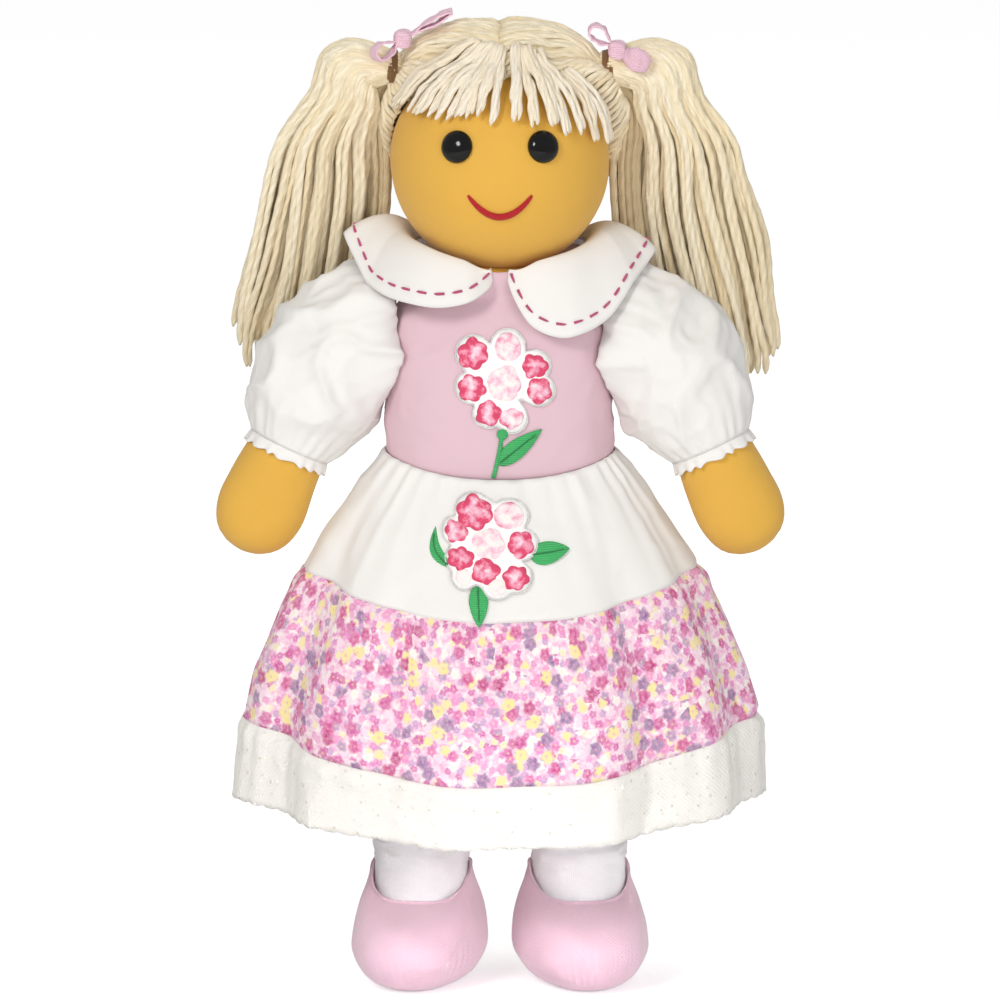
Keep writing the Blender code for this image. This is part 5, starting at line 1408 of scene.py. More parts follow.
class DOLL_OT_collar(bpy.types.Operator):
    """Lay the two collar leaves on the shoulders and sew their edges with running stitch"""

    bl_idname = "doll.collar"
    bl_label = "Collar"

    def execute(self, context):
        for side, word in SIDES:
            rows = self.rows(side)
            cloth, below = finish("white_cotton"), (0, 0, BODY_HIGH.z - 0.03)
            leaf = cloth_piece(f"collar_leaf_{word}", rows, cloth, thickness=0.0010, inside=below)
            dress(leaf, "torso", f"collar_{word}")
            self.stitches(rows, word)
        return {"FINISHED"}

    def rows(self, side):
        """Points from the neck seam to the outer edge, each row from the front to the back."""
        s = sizes()
        base = Vector((0, 0, BODY_HIGH.z + s.ease + 2 * s.cloth + 0.0009))
        count = len(COLLAR_SHARES) - 1
        table = [(i / count, *row) for i, row in enumerate(COLLAR_SHARES)]
        drop, lift = s.collar_drop, s.collar_lift
        if side < 0:
            drop, lift = 0.38 * drop, 1.60 * lift

        def point(v, share):
            angle = radians(-87.0 + 174.0 * share)
            x, y, height = blended(table, share)
            rise = height * (lift if height > 0 else drop)
            outer = base + Vector((x * s.collar_half_width, y * s.collar_half_depth, rise))
            place = neck_opening(angle).lerp(outer, v)
            roll = 0.0030 + 0.0080 * cos(angle) ** 2
            place.z += s.cloth + roll * 4 * v * (1 - v) * (1.25 - 0.5 * v)
            place.z -= 0.0032 * smooth((-sin(angle) - 0.86) / 0.14) * (1 - v)
            wave = rumple(Vector((share * 4.0, side * 3.0, 0)), 0.6, 2.0) * smooth(v)
            place.z += 0.0008 * wave - 0.0006 * smooth((v - 0.9) / 0.1)
            place.y += 0.0008 * wave * (1 if place.y > 0 else -1)
            return Vector((side * place.x, place.y, place.z))

        return grid(shares(30), [0.03 + 0.97 * i / 140 for i in range(141)], point)

    def stitches(self, rows, word):
        """Running stitches along the leaf, at an even distance inside its edge."""
        s = sizes()
        inset = 0.0058
        line = []
        for i in range(3, len(rows[0]) - 3):
            column = [row[i] for row in rows]
            left, k = inset, len(column) - 1
            while k > 1 and left > (column[k] - column[k - 1]).length:
                left -= (column[k] - column[k - 1]).length
                k -= 1
            normal = (column[k] - column[k - 1]).cross(rows[k][i + 1] - rows[k][i - 1]).normalized()
            middle = Vector((0, 0, BODY_HIGH.z - 0.03))
            normal *= 1 if normal.dot(column[k] - middle) > 0 else -1
            place = column[k].lerp(column[k - 1], left / (column[k] - column[k - 1]).length)
            line.append(place + 0.0003 * normal)
        places = along_curve(line, 900)
        strands = []
        travelled, start = 0.0, 0
        for k in range(1, len(places)):
            travelled += (places[k] - places[k - 1]).length
            if travelled >= s.stitch and start is not None:
                part = places[start : k + 1]
                strands.append((part[::3] + [part[-1]], 0.0007, 0.5))
                start = None
            if travelled >= s.stitch + s.stitch_gap:
                travelled, start = 0.0, k
        thread = yarn_piece(f"collar_stitches_{word}", strands, finish("running_stitch"), 0.0008)
        dress(thread, "torso", slot="flower_pink")


class DOLL_OT_arms(bpy.types.Operator):
    """Make the arms, their puffed sleeves and the frills at their cuffs"""

    bl_idname = "doll.arms"
    bl_label = "Arms and sleeves"

    def execute(self, context):
        for side, word in SIDES:
            self.arm(side, word)
            self.sleeve(side, word)
            self.frill(side, word)
        return {"FINISHED"}

    def arm(self, side, word):
        s = sizes()
        low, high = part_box(f"shoulder_tab_{word}")
        middle, half = (low + high) / 2, (high - low) / 2
        rings = []
        for share, size in ((-1.0, 0.55), (-0.96, 0.86), (-0.5, 1.0), (0.5, 1.0), (0.96, 0.86), (1.0, 0.55)):
            centre = middle + Vector((share * half.x, 0, 0))
            rings.append(ring(centre, (0, size * half.y, 0), (0, 0, size * half.z), 32))
        tab = solid_piece(f"sewn_tab_{word}", rings, finish("calico"))
        dress(tab, f"shoulder_{word}", f"shoulder_tab_{word}")
        start, axis = PIVOTS[f"arm_{word}_raise"], arm_axis(side)
        across, depth = arm_section(side)
        rings = []
        for polar in (164.0, 148.0, 132.0, 116.0, 100.0):
            b = radians(polar)
            radius = s.arm_top_radius * sin(b)
            centre = start + s.arm_top_radius * cos(b) * axis
            rings.append(ring(centre, radius * across, radius * depth, 56))

        def point(share, angle):
            on_arm = share < WRIST_SHARE
            shape, whole = (ARM_SHARES, s.wrist_radius) if on_arm else (HAND_SHARES, s.hand_radius)
            flat = 1 - 0.20 * smooth((share - s.wrist_at / s.arm_length) / 0.2)
            a, b = oval(angle)
            seam = 0.00035 * exp(-((b / 0.09) ** 2)) * smooth((share - 0.5) / 0.1)
            size = blended(shape, share)[0] * whole - seam
            place = start + share * s.arm_length * axis
            place = place + size * (a * across + b * flat * depth)
            return place + 0.0003 * rumple(place, 0.014) * (a * across + b * depth)

        rings += grid([0.02 + 0.965 * k / 43 for k in range(1, 44)], circle(56), point)
        for share, size in ((0.991, 0.32), (0.996, 0.20), (0.999, 0.09)):
            size *= s.hand_radius
            rings.append(ring(start + share * s.arm_length * axis, size * across, 0.8 * size * depth, 56))
        arm = solid_piece(f"stuffed_arm_{word}", rings, finish("mustard_cotton"))
        dress(arm, f"arm_{word}", f"arm_{word}")

    def sleeve_rows(self, side, word):
        """Puffed sleeve from the armhole seam to the cuff, gathered at both."""
        s = sizes()
        pivot, axis = PIVOTS[f"arm_{word}_raise"], arm_axis(side)
        across_end, depth_end = arm_section(side)
        body_side = BODY_HIGH.x + s.ease + s.cloth + 0.0003
        armhole = Vector((side * body_side, 0, pivot.z - 0.3 * s.arm_top_radius))
        cuff = pivot + s.wrist_at * axis
        corner = armhole + Vector((side * 0.0235, 0, -0.0100))
        table = [(0.0, 0.0234 / s.puff_radius)]
        table += [row for row in SLEEVE_SHARES if 0 < row[0] < 1]
        table.append((1.0, (s.wrist_radius + 0.0016) / s.puff_radius))

        def point(share, angle):
            rest = 1 - share
            centre = rest * rest * armhole + 2 * share * rest * corner + share * share * cuff
            down = radians(65.2 * smooth(share) ** 0.8)
            near = smooth((share - 0.7) / 0.3)
            end_way = across_end if across_end.z > 0 else -across_end
            across = Vector((side * sin(down), 0, cos(down))).lerp(end_way, near)
            across.normalize()
            depth = Vector((0, 1, 0)).lerp(depth_end, near)
            depth = (depth - depth.dot(across) * across).normalized()
            radius = blended(table, share)[0] * s.puff_radius
            flat = (1 - 0.10 * sin(pi * share)) * (0.58 + 0.42 * smooth(share / 0.18))
            a, b = cos(angle), sin(angle)
            out = a * across + flat * b * depth
            place = centre + radius * out
            size = 0.0013 * rumple(place, 0.028, 3.0 + side) + 0.0034 * crease(place, 0.026, 5.0 * side)
            size += 0.0011 * crease(place, 0.012, 8.0 + side)
            top = exp(-share / 0.16) * (0.4 + 0.6 * abs(rumple(Vector((a, b, 0)), 0.5, 2.0)))
            end = exp(-(1 - share) / 0.13) * (0.4 + 0.6 * abs(rumple(Vector((a, b, 3)), 0.5, 2.0)))
            size *= sin(pi * min(max(share, 0.02), 0.98)) ** 0.5
            size += 0.0011 * top * cos(26 * angle + 2 * rumple(Vector((a, b, 0)), 0.6))
            size += 0.0010 * end * cos(22 * angle + 2 * rumple(Vector((a, b, 1)), 0.6))
            place += size * smooth(share / 0.03) * smooth((1 - share) / 0.03) * out
            # At the armhole the cloth lies against the bodice
            seat = body_share(min(place.z, BODY_LOW.z + 0.80 * (BODY_HIGH.z - BODY_LOW.z)))
            wide, deep = blended(BODY_SHARES, seat)
            level = min(abs(place.y) / (deep * BODY_HIGH.y + s.ease), 1.0)
            seam_x = (wide * BODY_HIGH.x + s.ease) * (1 - level**BODY_SQUARENESS) ** (1 / BODY_SQUARENESS)
            free = smooth(share / (0.20 + 0.40 * max(-a, 0.0)))
            place.x = side * seam_x + (place.x - side * seam_x) * free
            return place

        return grid(shares(56), circle(120), point)

    def sleeve(self, side, word):
        rows = self.sleeve_rows(side, word)
        sleeve = cloth_piece(f"puffed_sleeve_{word}", rows, finish("white_cotton"), closed=True)
        stand_for(sleeve, f"sleeve_{word}")
        flat_sheet(sleeve, rows, "gathered", rests_on=[f"stuffed_arm_{word}"])
        pivot, way = PIVOTS[f"arm_{word}_raise"], Vector((0.85 * side, 0, -0.53))
        start, end = pivot + 0.004 * way, pivot + 0.042 * way
        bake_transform(sleeve)
        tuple(start)
        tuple(end)

    def frill(self, side, word):
        s = sizes()
        start, axis = PIVOTS[f"arm_{word}_raise"], arm_axis(side)
        across, depth = arm_section(side)

        def point(share, angle):
            wave = cos(17 * angle + 1.6 * rumple(level_way(angle), 0.5))
            radius = s.wrist_radius + 0.0016 + (0.0008 + 0.0006 * wave) * share
            radius -= (s.cloth + 0.0001) * (1 - smooth(share / 0.3))
            place = start + (s.wrist_at - 0.0010 + (0.0056 + 0.0006 * wave) * share) * axis
            return place + radius * (cos(angle) * across + sin(angle) * depth)

        rows = grid(shares(8), circle(160), point)
        frill = cloth_piece(f"cuff_frill_cloth_{word}", rows, finish("white_cotton"), closed=True)
        dress(frill, f"arm_{word}", f"cuff_frill_{word}")
        around = spans(rows)[0][-1]


class DOLL_OT_skirt(bpy.types.Operator):
    """Gather the skirt's three tiers"""

    bl_idname = "doll.skirt"
    bl_label = "Skirt"

    def execute(self, context):
        upper, floral, hem = (0.334, 0.043), (0.766, 0.059), (1.0, 0.0)
        self.tier("skirt_white_tier", "skirt_upper", (0.0, 0.0), upper, "white_cotton", 260, 30)
        self.tier("skirt_print_tier", "skirt_floral", upper, floral, "ditsy_print", 280, 32)
        self.tier("skirt_eyelet_trim", "skirt_trim", floral, hem, "broderie_anglaise", 640, 14)
        return {"FINISHED"}

    def tier(self, name, node, top, bottom, material, columns, lines):
        s = sizes()
        hem = bottom[0] == 1.0

        def point(j, angle):
            front = sin(angle) ** 2
            low = top[0] + top[1] * front
            high = bottom[0] + bottom[1] * front
            tuck = 0.012 if top[0] else 0.0
            share = low - tuck + (high - low + tuck) * j / lines
            below = (share - low) * s.skirt_length
            off_seam = smooth(below / 0.0020)
            if not hem:
                off_seam *= smooth((high - share) * s.skirt_length / 0.0025)
            if top[0] == 0.0:
                extra = gather(angle, below, 34, 0.0012, 0.022, 2.0) * off_seam
                extra += 0.0008 * exp(-below / 0.004)
            else:
                extra = gather(angle, max(below, 0.0), 52, 0.0011, 0.014, 5.0) * off_seam
                extra += 0.0010 * exp(-(((below - 0.005) / 0.004) ** 2)) * off_seam
                extra -= (s.cloth + 0.0003) * (1 - smooth((below + 0.0004) / 0.0014))
            place = skirt_point(angle, share, extra)
            wrinkle = rumple(place, 0.024, 6.0) * 0.0007 + 0.0010 * crease(place, 0.03, 9.0)
            away = Vector((place.x / s.hem_half_width, place.y / s.hem_half_depth, 0)).normalized()
            place += wrinkle * smooth(below / 0.006) * off_seam * away
            if hem:
                scallop = abs(sin(38 * angle)) ** 0.7
                place.z += 0.0009 * (1 - scallop) * smooth((j / lines - 0.6) / 0.4)
            return place

        rows = grid(range(lines + 1), circle(columns), point)
        piece = cloth_piece(name, rows, finish(material), closed=True)
        stand_for(piece, node)
        flat_sheet(piece, rows, "gathered")
        drape_over_hips(piece)


class DOLL_OT_flowers(bpy.types.Operator):
    """Sew an applique flower on the bodice and one on the skirt, with their leaves"""

    bl_idname = "doll.flowers"
    bl_label = "Flowers"

    # Each blossom: sideways, up and radius in millimetres from the flower's middle, and its depth of colour
    UPPER = (
        (0.0, 0.0, 7.2, 0.30), (-12.9, 12.4, 5.6, 0.95), (1.2, 15.0, 5.6, 0.35), (12.4, 7.3, 4.8, 1.0),
        (14.2, -2.8, 4.8, 0.85), (2.9, -14.6, 4.7, 0.45), (-6.7, -12.2, 4.8, 0.95),
        (-13.5, -1.5, 5.2, 0.90),
    )
    LOWER = (
        (0.0, 0.0, 6.1, 0.25), (-4.8, 12.7, 6.2, 0.95), (7.0, 11.4, 5.3, 0.30), (-12.3, 4.8, 4.3, 0.75),
        (11.4, 0.0, 4.8, 0.80), (-10.5, -6.1, 4.7, 1.0), (-1.3, -10.5, 4.8, 0.95), (9.7, -13.2, 4.6, 1.0),
        (3.0, -17.0, 3.4, 0.05), (-9.8, -13.4, 3.2, 0.10),
    )

    # Each leaf on the skirt: its stalk's place, its direction, length, width and how far it curves
    SKIRT_LEAVES = (
        ("a", (-0.0150, -0.0097), 112.0, 0.0168, 0.0056, 0.0035),
        ("b", (0.0150, -0.0044), 5.0, 0.0166, 0.0094, 0.0),
        ("c", (-0.0042, -0.0163), -89.0, 0.0172, 0.0074, 0.0),
    )

    def execute(self, context):
        waist = waist_z() - sizes().waist_dip
        flower_z = waist + 0.525 * (BODY_HIGH.z - waist)

        def bodice(x, y, out):
            return on_bodice(x + 0.0020, flower_z + y, out)

        def skirt(x, y, out):
            return on_skirt(x - 0.0040, 0.0265 - y, out)

        self.flower("upper", bodice, self.UPPER, 0.0006, None)
        self.flower("lower", skirt, self.LOWER, 0.0010, drape_over_hips)
        edge = -0.0205 - 0.0010
        bottom = waist - flower_z + 0.0012
        left, right = [], []
        for share in shares(8):
            x, y = -0.0012 - 0.0036 * share**1.3, edge + (bottom - edge) * share
            left.append((x - 0.0009, y))
            right.append((x + 0.0009, y))
        bud = [(0.0024 * cos(a) - 0.0010, edge + 0.0024 * sin(a)) for a in circle(16)]
        self.patch("stem_stitches", bodice, left + right[::-1], 0.0007, 0.0009, ["stem_upper"])
        self.patch("stem_bud", bodice, bud, 0.0010, 0.0011, [])
        place = (-0.0032, edge - 0.0130)
        self.leaf("leaf_on_bodice", bodice, place, 39.0, 0.0240, 0.0082, 0.0, ["leaf_upper"], None)
        for word, *shape in self.SKIRT_LEAVES:
            self.leaf(f"leaf_on_skirt_{word}", skirt, *shape, [f"leaf_lower_{word}"], drape_over_hips)
        return {"FINISHED"}

    def settle(self, piece, nodes, slot, bend):
        stand_for(piece, *nodes, slot=None if nodes else slot)
        if bend:
            bend(piece)
        else:
            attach(piece, "torso")

    def patch(self, name, surface, outline, lift, height, nodes, bend=None):
        """One padded green patch."""
        piece = self.cushions(name, surface, [(outline, 0.0)], lift, height, finish("leaf_felt"))
        self.settle(piece, nodes, "leaf_green", bend)

    def cushions(self, name, surface, outlines, lift, height, material, rounding=3.0):
        """Low padded patches that follow the cloth under them. Shade runs from their middles outwards."""
        points, faces, shades = [], [], []
        steps = 7
        for outline, deep in outlines:
            count = len(outline)
            cx = sum(x for x, y in outline) / count
            cy = sum(y for x, y in outline) / count
            first = len(points)
            cloth = []
            for k in range(1, steps + 1):
                scale = k / steps
                rise = lift + height * (1 - 0.75 * scale**rounding)
                for x, y in outline:
                    px, py = cx + scale * (x - cx), cy + scale * (y - cy)
                    points.append(surface(px, py, rise))
                    cloth.append((px + 10 * cx, py + 7 * cy))
                    shades.append(deep * (0.45 + 0.50 * scale**1.5))
            points += [surface(x, y, lift) for x, y in outline]
            cloth += [(x + 10 * cx, y + 7 * cy) for x, y in outline]
            points += [surface(cx, cy, lift + height), surface(cx, cy, lift)]
            cloth += [(11 * cx, 8 * cy)] * 2
            shades += [deep] * count + [deep * 0.3, deep]
            top = first + (steps + 1) * count
            last = first + steps * count
            for i in range(count):
                j = (i + 1) % count
                loops = [(top, first + i, first + j)]
                for k in range(steps):
                    a, b = first + k * count, first + (k + 1) * count
                    loops.append((a + i, b + i, b + j, a + j))
                loops.append((top + 1, last + j, last + i))
                faces += [(loop, [cloth[p - first] for p in loop]) for loop in loops]
        return make_piece(name, points, faces, material, shades)

    def flower(self, word, surface, blossoms, lift, bend):
        """White ground cut round all the blossoms, each blossom on it, and a thread round the ground's edge.
        """
        rim = []
        for a in circle(150):
            reach = 0.0
            for x, y, radius, deep in blossoms:
                along = x * cos(a) + y * sin(a)
                inside = along * along - x * x - y * y + (1.08 * radius + 1.5) ** 2
                if inside > 0:
                    reach = max(reach, along + sqrt(inside))
            rim.append((reach * MILLIMETRE * cos(a), reach * MILLIMETRE * sin(a)))
        white = finish("edge_thread")
        ground = self.cushions(f"flower_{word}_ground", surface, [(rim, 0.0)], lift, 0.0008, white, 12.0)
        self.settle(ground, [f"flower_{word}"], "white_cotton", bend)
        outlines = []
        for k, (x, y, radius, deep) in enumerate(blossoms):
            lobes = 5 + k % 2
            depth = 0.20 if deep > 0.7 else 0.08
            outline = []
            for a in circle(60):
                size = radius * (0.97 + depth * abs(cos(lobes * a / 2 + k)))
                size *= 1 + 0.12 * rumple((cos(a), sin(a), 2 * k), 0.8)
                outline.append(((x + size * cos(a)) * MILLIMETRE, (y + size * sin(a)) * MILLIMETRE))
            outlines.append((outline, deep))
        cloth, lift_on = finish("petal_print"), lift + 0.0006
        petals = self.cushions(f"flower_{word}_blossoms", surface, outlines, lift_on, 0.0006, cloth)
        self.settle(petals, [], "flower_pink", bend)
        path = [surface(x, y, lift + 0.0004) for x, y in rim[::2]]
        edging = yarn_piece(f"flower_{word}_edging", [(path + path[:1], 0.0004, 0.5)], white, 0.0009)
        self.settle(edging, [], "white_cotton", bend)

    def leaf(self, name, surface, place, direction, length, width, curve, nodes, bend):
        """Pointed leaf with a stitched line along its middle."""
        a = radians(direction)
        base = Vector((*place, 0))
        along = level_way(a)
        across = Vector((-sin(a), cos(a), 0))
        middle, left, right = [], [], []
        for u in shares(14):
            half = width / 2 * sin(pi * u**0.72) ** 0.8
            bow = curve * sin(pi * u)
            for line, off in ((middle, bow), (left, bow + half), (right, bow - half)):
                line.append((base + u * length * along + off * across).xy)
        outline = right[:-1] + left[1:][::-1]
        self.patch(name, surface, outline, 0.0008, 0.0009, nodes, bend)
        path = [surface(x, y, 0.0017) for x, y in middle[1:-2]]
        vein = yarn_piece(f"{name}_vein", [(path, 0.0004, 0.0)], finish("leaf_vein"), 0.0009)
        self.settle(vein, [], "leaf_green", bend)


class DOLL_OT_hips(bpy.types.Operator):
    """Make the flat hip band and the knickers"""

    bl_idname = "doll.hips"
    bl_label = "Hips and knickers"

    def execute(self, context):
        s = sizes()
        low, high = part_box("hip_band")
        middle = (low + high) / 2
        half = (high.y - low.y) / 2

        def on_band(i, a):
            z = (high.z - half if cos(a) > 0 else low.z + half) + half * cos(a)
            return Vector((low.x + (high.x - low.x) * i / 24, middle.y + half * sin(a), z))

        band = solid_piece("sewn_hip_band", grid(range(25), circle(24), on_band), finish("calico"))
        dress(band, "hips", "hip_band")
        seat_low, seat_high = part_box("knickers_seat")

        def on_seat(share, a):
            z = seat_high.z + (seat_low.z - seat_high.z) * share
            width, depth = blended(BODY_SHARES, max(body_share(z), body_share(seat_high.z) - 0.10))
            puff = 0.0025 * sin(pi * min(share * 0.8, 1.0))
            x, y = oval(a, BODY_SQUARENESS)
            fine = 0.0005 * cos(30 * a) * exp(-share / 0.15)
            x *= width * BODY_HIGH.x + s.ease + s.cloth + puff + fine
            return Vector((x, y * (depth * BODY_HIGH.y + s.ease + s.cloth + puff + fine), z))

        rows = grid(shares(24), circle(120), on_seat)
        seat = cloth_piece("knickers_seat_cloth", rows, finish("white_cotton"), closed=True)
        stand_for(seat, "knickers_seat")
        flat_sheet(seat, rows, "gathered", rests_on=["stuffed_body"])
        drape_over_hips(seat)
        return {"FINISHED"}


def leg_centre_x(z):
    """The legs spread a little from the hip band to the ankles."""
    s = sizes()
    top = PIVOTS["leg_left_swing"].x
    return top + (s.ankle_x - top) * smooth((s.leg_length - z) / (0.75 * s.leg_length))


class DOLL_OT_legs(bpy.types.Operator):
    """Make the legs, the knickers' legs, the socks and the shoes"""

    bl_idname = "doll.legs"
    bl_label = "Legs and shoes"

    def execute(self, context):
        for side, word in SIDES:
            self.leg(side, word)
            self.knickers(side, word)
            self.sock(side, word)
            self.shoe(side, word)
        return {"FINISHED"}

    def level(self, side, z, half_width, half_depth, count=64, push=None):
        line = []
        for a in circle(count):
            size = push(a) if push else 0.0
            x = side * leg_centre_x(z) + (half_width + size) * cos(a)
            line.append(Vector((x, (half_depth + size) * sin(a), z)))
        return line

    def leg(self, side, word):
        s = sizes()
        low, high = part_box(f"leg_{word}")
        rings = []
        for k in range(40):
            share = 0.88 * (k / 39) ** 1.1
            z = high.z - share * s.leg_length
            width, depth = blended(LEG_SHARES, min(share, 0.9))
            blend = smooth((share - 0.50) / 0.12)
            half_width = (1 - blend) * width * s.leg_half_width + blend * ANKLE_RADIUS
            half_depth = (1 - blend) * depth * s.leg_half_width + blend * ANKLE_RADIUS
            rings.append(self.level(side, z, half_width, half_depth))
        for z, size in ((low.z + 0.0050, 0.95), (low.z + 0.0022, 0.88), (low.z, 0.74)):
            rings.append(self.level(side, z, ANKLE_RADIUS * size, ANKLE_RADIUS * size))
        leg = solid_piece(f"stuffed_leg_{word}", rings[::-1], finish("mustard_cotton"))
        dress(leg, f"leg_{word}", f"leg_{word}")

    def knickers(self, side, word):
        s = sizes()
        low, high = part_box(f"knickers_leg_{word}")
        rows = []
        for share in shares(20):
            z = high.z + (low.z - high.z) * share
            puff = 0.0022 * sin(pi * min(0.15 + 0.8 * share, 1.0))

            def push(a, puff=puff, share=share):
                return puff * 0.6 + 0.0005 * cos(18 * a) * exp(-(1 - share) / 0.2)

            half_width, half_depth = 1.02 * s.leg_half_width + 0.0016, s.leg_half_width + 0.0016
            rows.append(self.level(side, z, half_width, half_depth, 90, push))
        cloth = cloth_piece(f"knickers_leg_cloth_{word}", rows, finish("white_cotton"), closed=True)
        dress(cloth, f"leg_{word}", f"knickers_leg_{word}")
        flat_sheet(cloth, rows, "gathered", rests_on=[f"stuffed_leg_{word}"])

    def sock(self, side, word):
        s = sizes()
        low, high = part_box(f"sock_{word}")
        rows = []
        for j in range(61):
            z = high.z + (low.z - high.z) * j / 60

            def push(a, z=z):
                place = Vector((cos(a) * 0.02, sin(a) * 0.02, z * 3.4))
                band = exp(-(((z - 0.0570) / 0.0055) ** 2))
                return 0.0018 * crease(place, 0.015, 3.0 * side) * band + 0.0004 * rumple(place, 0.02)

            rows.append(self.level(side, z, s.sock_radius + 0.0003, s.sock_radius + 0.0003, 96, push))
        sock = cloth_piece(f"knit_sock_{word}", rows, finish("sock_knit"), closed=True, thickness=0.0009)
        dress(sock, f"leg_{word}", f"sock_{word}")
        flat_sheet(sock, rows, "stretched", rests_on=[f"stuffed_leg_{word}"])

    def shoe(self, side, word):
        """Soft shoe with a gathered round toe, a flat sole and a low throat."""
        s = sizes()
        spread = Matrix.Rotation(radians(side * 8.0), 3, "Z")
        ankle = Vector((side * s.ankle_x, 0, 0))

        def shoe_ring(height, front, back, half_width, throat):
            line = []
            for angle in circle(160):
                x, y = oval(angle, 2.2)
                toe = max(-y, 0.0)
                y *= back if y > 0 else front
                fall = throat * smooth((0.35 - sin(angle)) / 1.35)
                place = Vector((x * half_width, y, 0))
                low = exp(-(((height - 0.013) / 0.008) ** 2))
                pleat = 0.0008 * cos(64 * angle + 1.8 * sin(5 * angle)) * toe * low
                soft = 0.0006 * rumple(place + Vector((side * 0.3, 0, height)), 0.018)
                soft *= smooth(height / 0.004) * smooth((s.shoe_height - height) / 0.006)
                place *= 1 + (pleat + soft) / max(place.length, 0.01)
                place.z = height - fall
                line.append(ankle + spread @ place)
            return line

        rings = []
        for height in [0.0, 0.0004, 0.0012, 0.0024] + [0.0005 + 0.0495 * k / 34 for k in range(3, 35)]:
            share = height / s.shoe_height
            front, back, width = blended(SHOE_SHARES, share)
            half_sizes = (front * s.shoe_front, back * s.shoe_back, width * s.shoe_half_width)
            rings.append(shoe_ring(height, *half_sizes, s.throat_drop * share**2))
        opening = s.sock_radius + FOOT_ROOM
        for wider, above in ((0.0014, 0.0004), (0.0008, 0.0007), (0.0002, 0.0003), (0.0, -0.0006)):
            radius = opening + wider
            rings.append(shoe_ring(s.shoe_height + above, radius, radius, radius, s.throat_drop))
        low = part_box(f"leg_{word}")[0].z - 0.0003
        rings.append(shoe_ring(low, opening, opening, opening, 0.0))
        shoe = solid_piece(f"soft_shoe_{word}", rings[::-1], finish("shoe_cloth"))
        dress(shoe, f"leg_{word}", f"shoe_{word}")


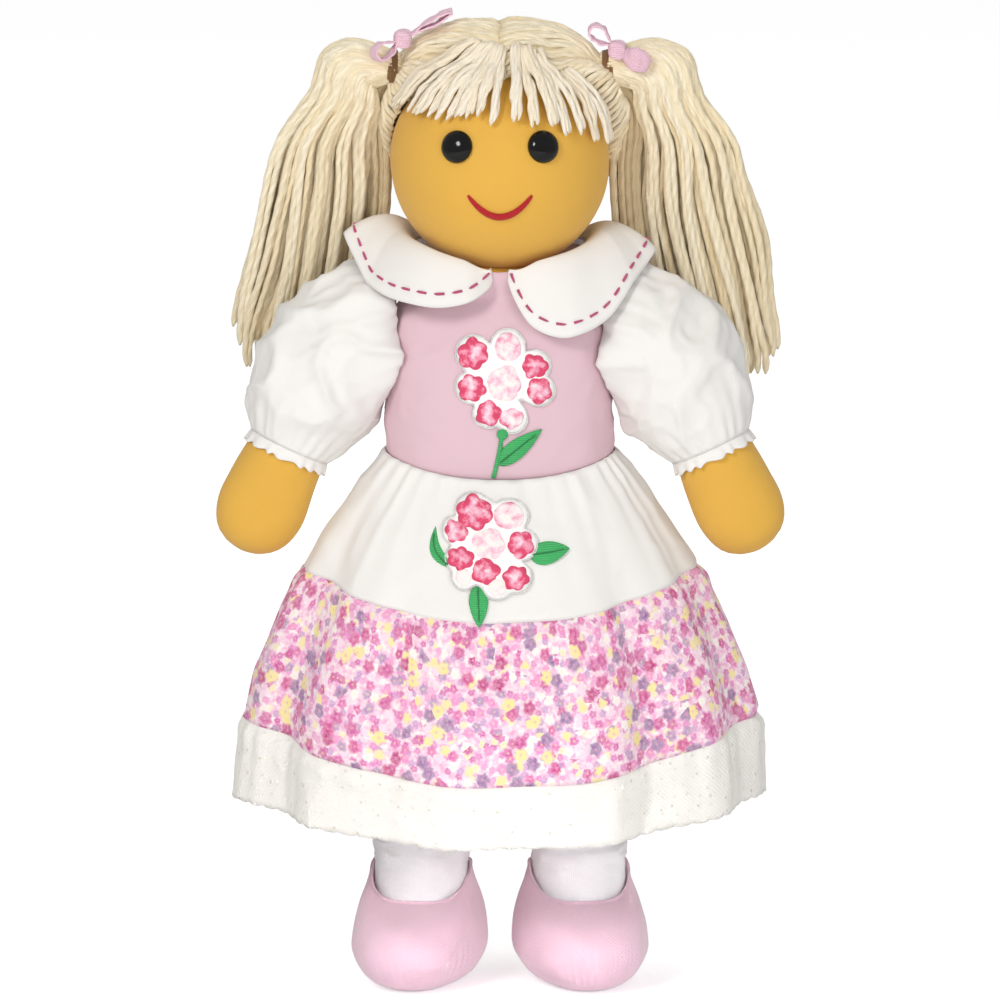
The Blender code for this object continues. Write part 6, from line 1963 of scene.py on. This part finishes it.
class DOLL_OT_stage(bpy.types.Operator):
    """Set up the floor, the soft studio lights and the camera"""

    bl_idname = "doll.stage"
    bl_label = "Stage"

    def execute(self, context):
        scene = context.scene
        scene.view_settings.view_transform = "Standard"
        corners = [(-30.0, -30.0), (30.0, -30.0), (30.0, 30.0), (-30.0, 30.0)]
        points = [Vector((x, y, -0.0002)) for x, y in corners]
        paper = bpy.data.materials.new("floor_paper")
        paper.use_nodes = True
        shader = paper.node_tree.nodes["Principled BSDF"]
        shader.inputs["Base Color"].default_value = rgba(linear("#FFFFFF"), 0.90)
        shader.inputs["Roughness"].default_value = 1.0
        shader.inputs["Emission Color"].default_value = (1.0, 1.0, 1.0, 1.0)
        seen = add_node(paper.node_tree, "LightPath").node.outputs["Is Camera Ray"]
        glow = add_node(paper.node_tree, "Math MULTIPLY", (seen, 0.56))
        paper.node_tree.links.new(glow, shader.inputs["Emission Strength"])
        make_piece("floor", points, [((0, 1, 2, 3), corners)], paper)
        world = bpy.data.worlds.new("studio")
        scene.world = world
        world.use_nodes = True
        sky = world.node_tree.nodes["Background"]
        sky.inputs["Color"].default_value = (1.0, 1.0, 1.0, 1.0)
        seen = add_node(world.node_tree, "LightPath").node.outputs["Is Camera Ray"]
        strength = add_node(world.node_tree, "Math MULTIPLY_ADD", (seen, 0.59, 0.41))
        world.node_tree.links.new(strength, sky.inputs["Strength"])
        # The low lamp is narrow: it only reaches the feet, which the skirt keeps the key from
        for name, place, size, power, colour, spread, height in (
            ("key", (-1.0, -1.9, 1.5), 0.7, 21.0, (1.0, 0.985, 0.96), 180.0, 0.20),
            ("fill", (0.8, -2.6, 0.14), 2.2, 45.0, (0.99, 0.99, 1.0), 180.0, 0.20),
            ("back", (0.2, 1.0, 1.9), 1.2, 8.0, (1.0, 1.0, 1.0), 180.0, 0.20),
            ("low", (0.1, -1.4, 0.10), 0.16, 0.035, (1.0, 1.0, 1.0), 11.0, 0.015),
        ):
            lamp = bpy.data.lights.new(name, "AREA")
            lamp.shape = "DISK"
            lamp.size = size
            lamp.energy = power
            lamp.color = colour
            lamp.spread = radians(spread)
            holder = bpy.data.objects.new(name, lamp)
            holder.location = place
            aim = Vector((0, 0, height)) - Vector(place)
            holder.rotation_euler = aim.to_track_quat("-Z", "Y").to_euler()
            # Only the key is seen in the eyes, so that each keeps one highlight
            holder.visible_glossy = name not in ("fill", "low")
            scene.collection.objects.link(holder)
        eye = bpy.data.cameras.new("camera")
        eye.sensor_width = 36.0
        eye.lens = eye.sensor_width * CAMERA_DISTANCE / (1000 * PIXEL)
        camera = bpy.data.objects.new("camera", eye)
        target = Vector((0, 0, 0.2082))
        rise = radians(10.0)
        camera.location = target + CAMERA_DISTANCE * Vector((0, -cos(rise), sin(rise)))
        camera.rotation_euler = (target - camera.location).to_track_quat("-Z", "Y").to_euler()
        scene.collection.objects.link(camera)
        scene.camera = camera
        return {"FINISHED"}


class DOLL_PT_panel(bpy.types.Panel):
    """Buttons and sizes of the doll in the sidebar"""

    bl_label = "Rag Doll"
    bl_idname = "DOLL_PT_panel"
    bl_space_type = "VIEW_3D"
    bl_region_type = "UI"
    bl_category = "Rag Doll"

    def draw(self, context):
        for operator in OPERATORS:
            self.layout.operator(operator.bl_idname)
        for group in (sizes(), colours()):
            box = self.layout.box()
            for name in group.__annotations__:
                box.prop(group, name)


OPERATORS = (
    DOLL_OT_stage,
    DOLL_OT_head,
    DOLL_OT_wig,
    DOLL_OT_bunches,
    DOLL_OT_bows,
    DOLL_OT_bodice,
    DOLL_OT_collar,
    DOLL_OT_arms,
    DOLL_OT_skirt,
    DOLL_OT_flowers,
    DOLL_OT_hips,
    DOLL_OT_legs,
)
CLASSES = (DollSizes, DollColours, *OPERATORS, DOLL_PT_panel)


def register():
    for made in CLASSES:
        bpy.utils.register_class(made)
    bpy.types.Scene.doll_sizes = bpy.props.PointerProperty(type=DollSizes)
    bpy.types.Scene.doll_colours = bpy.props.PointerProperty(type=DollColours)


def unregister():
    del bpy.types.Scene.doll_colours
    del bpy.types.Scene.doll_sizes
    for made in reversed(CLASSES):
        bpy.utils.unregister_class(made)


def main():
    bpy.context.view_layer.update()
    register()
    for operator in OPERATORS:
        getattr(bpy.ops.doll, operator.bl_idname.split(".")[1])()


if __name__ == "__main__":
    main()
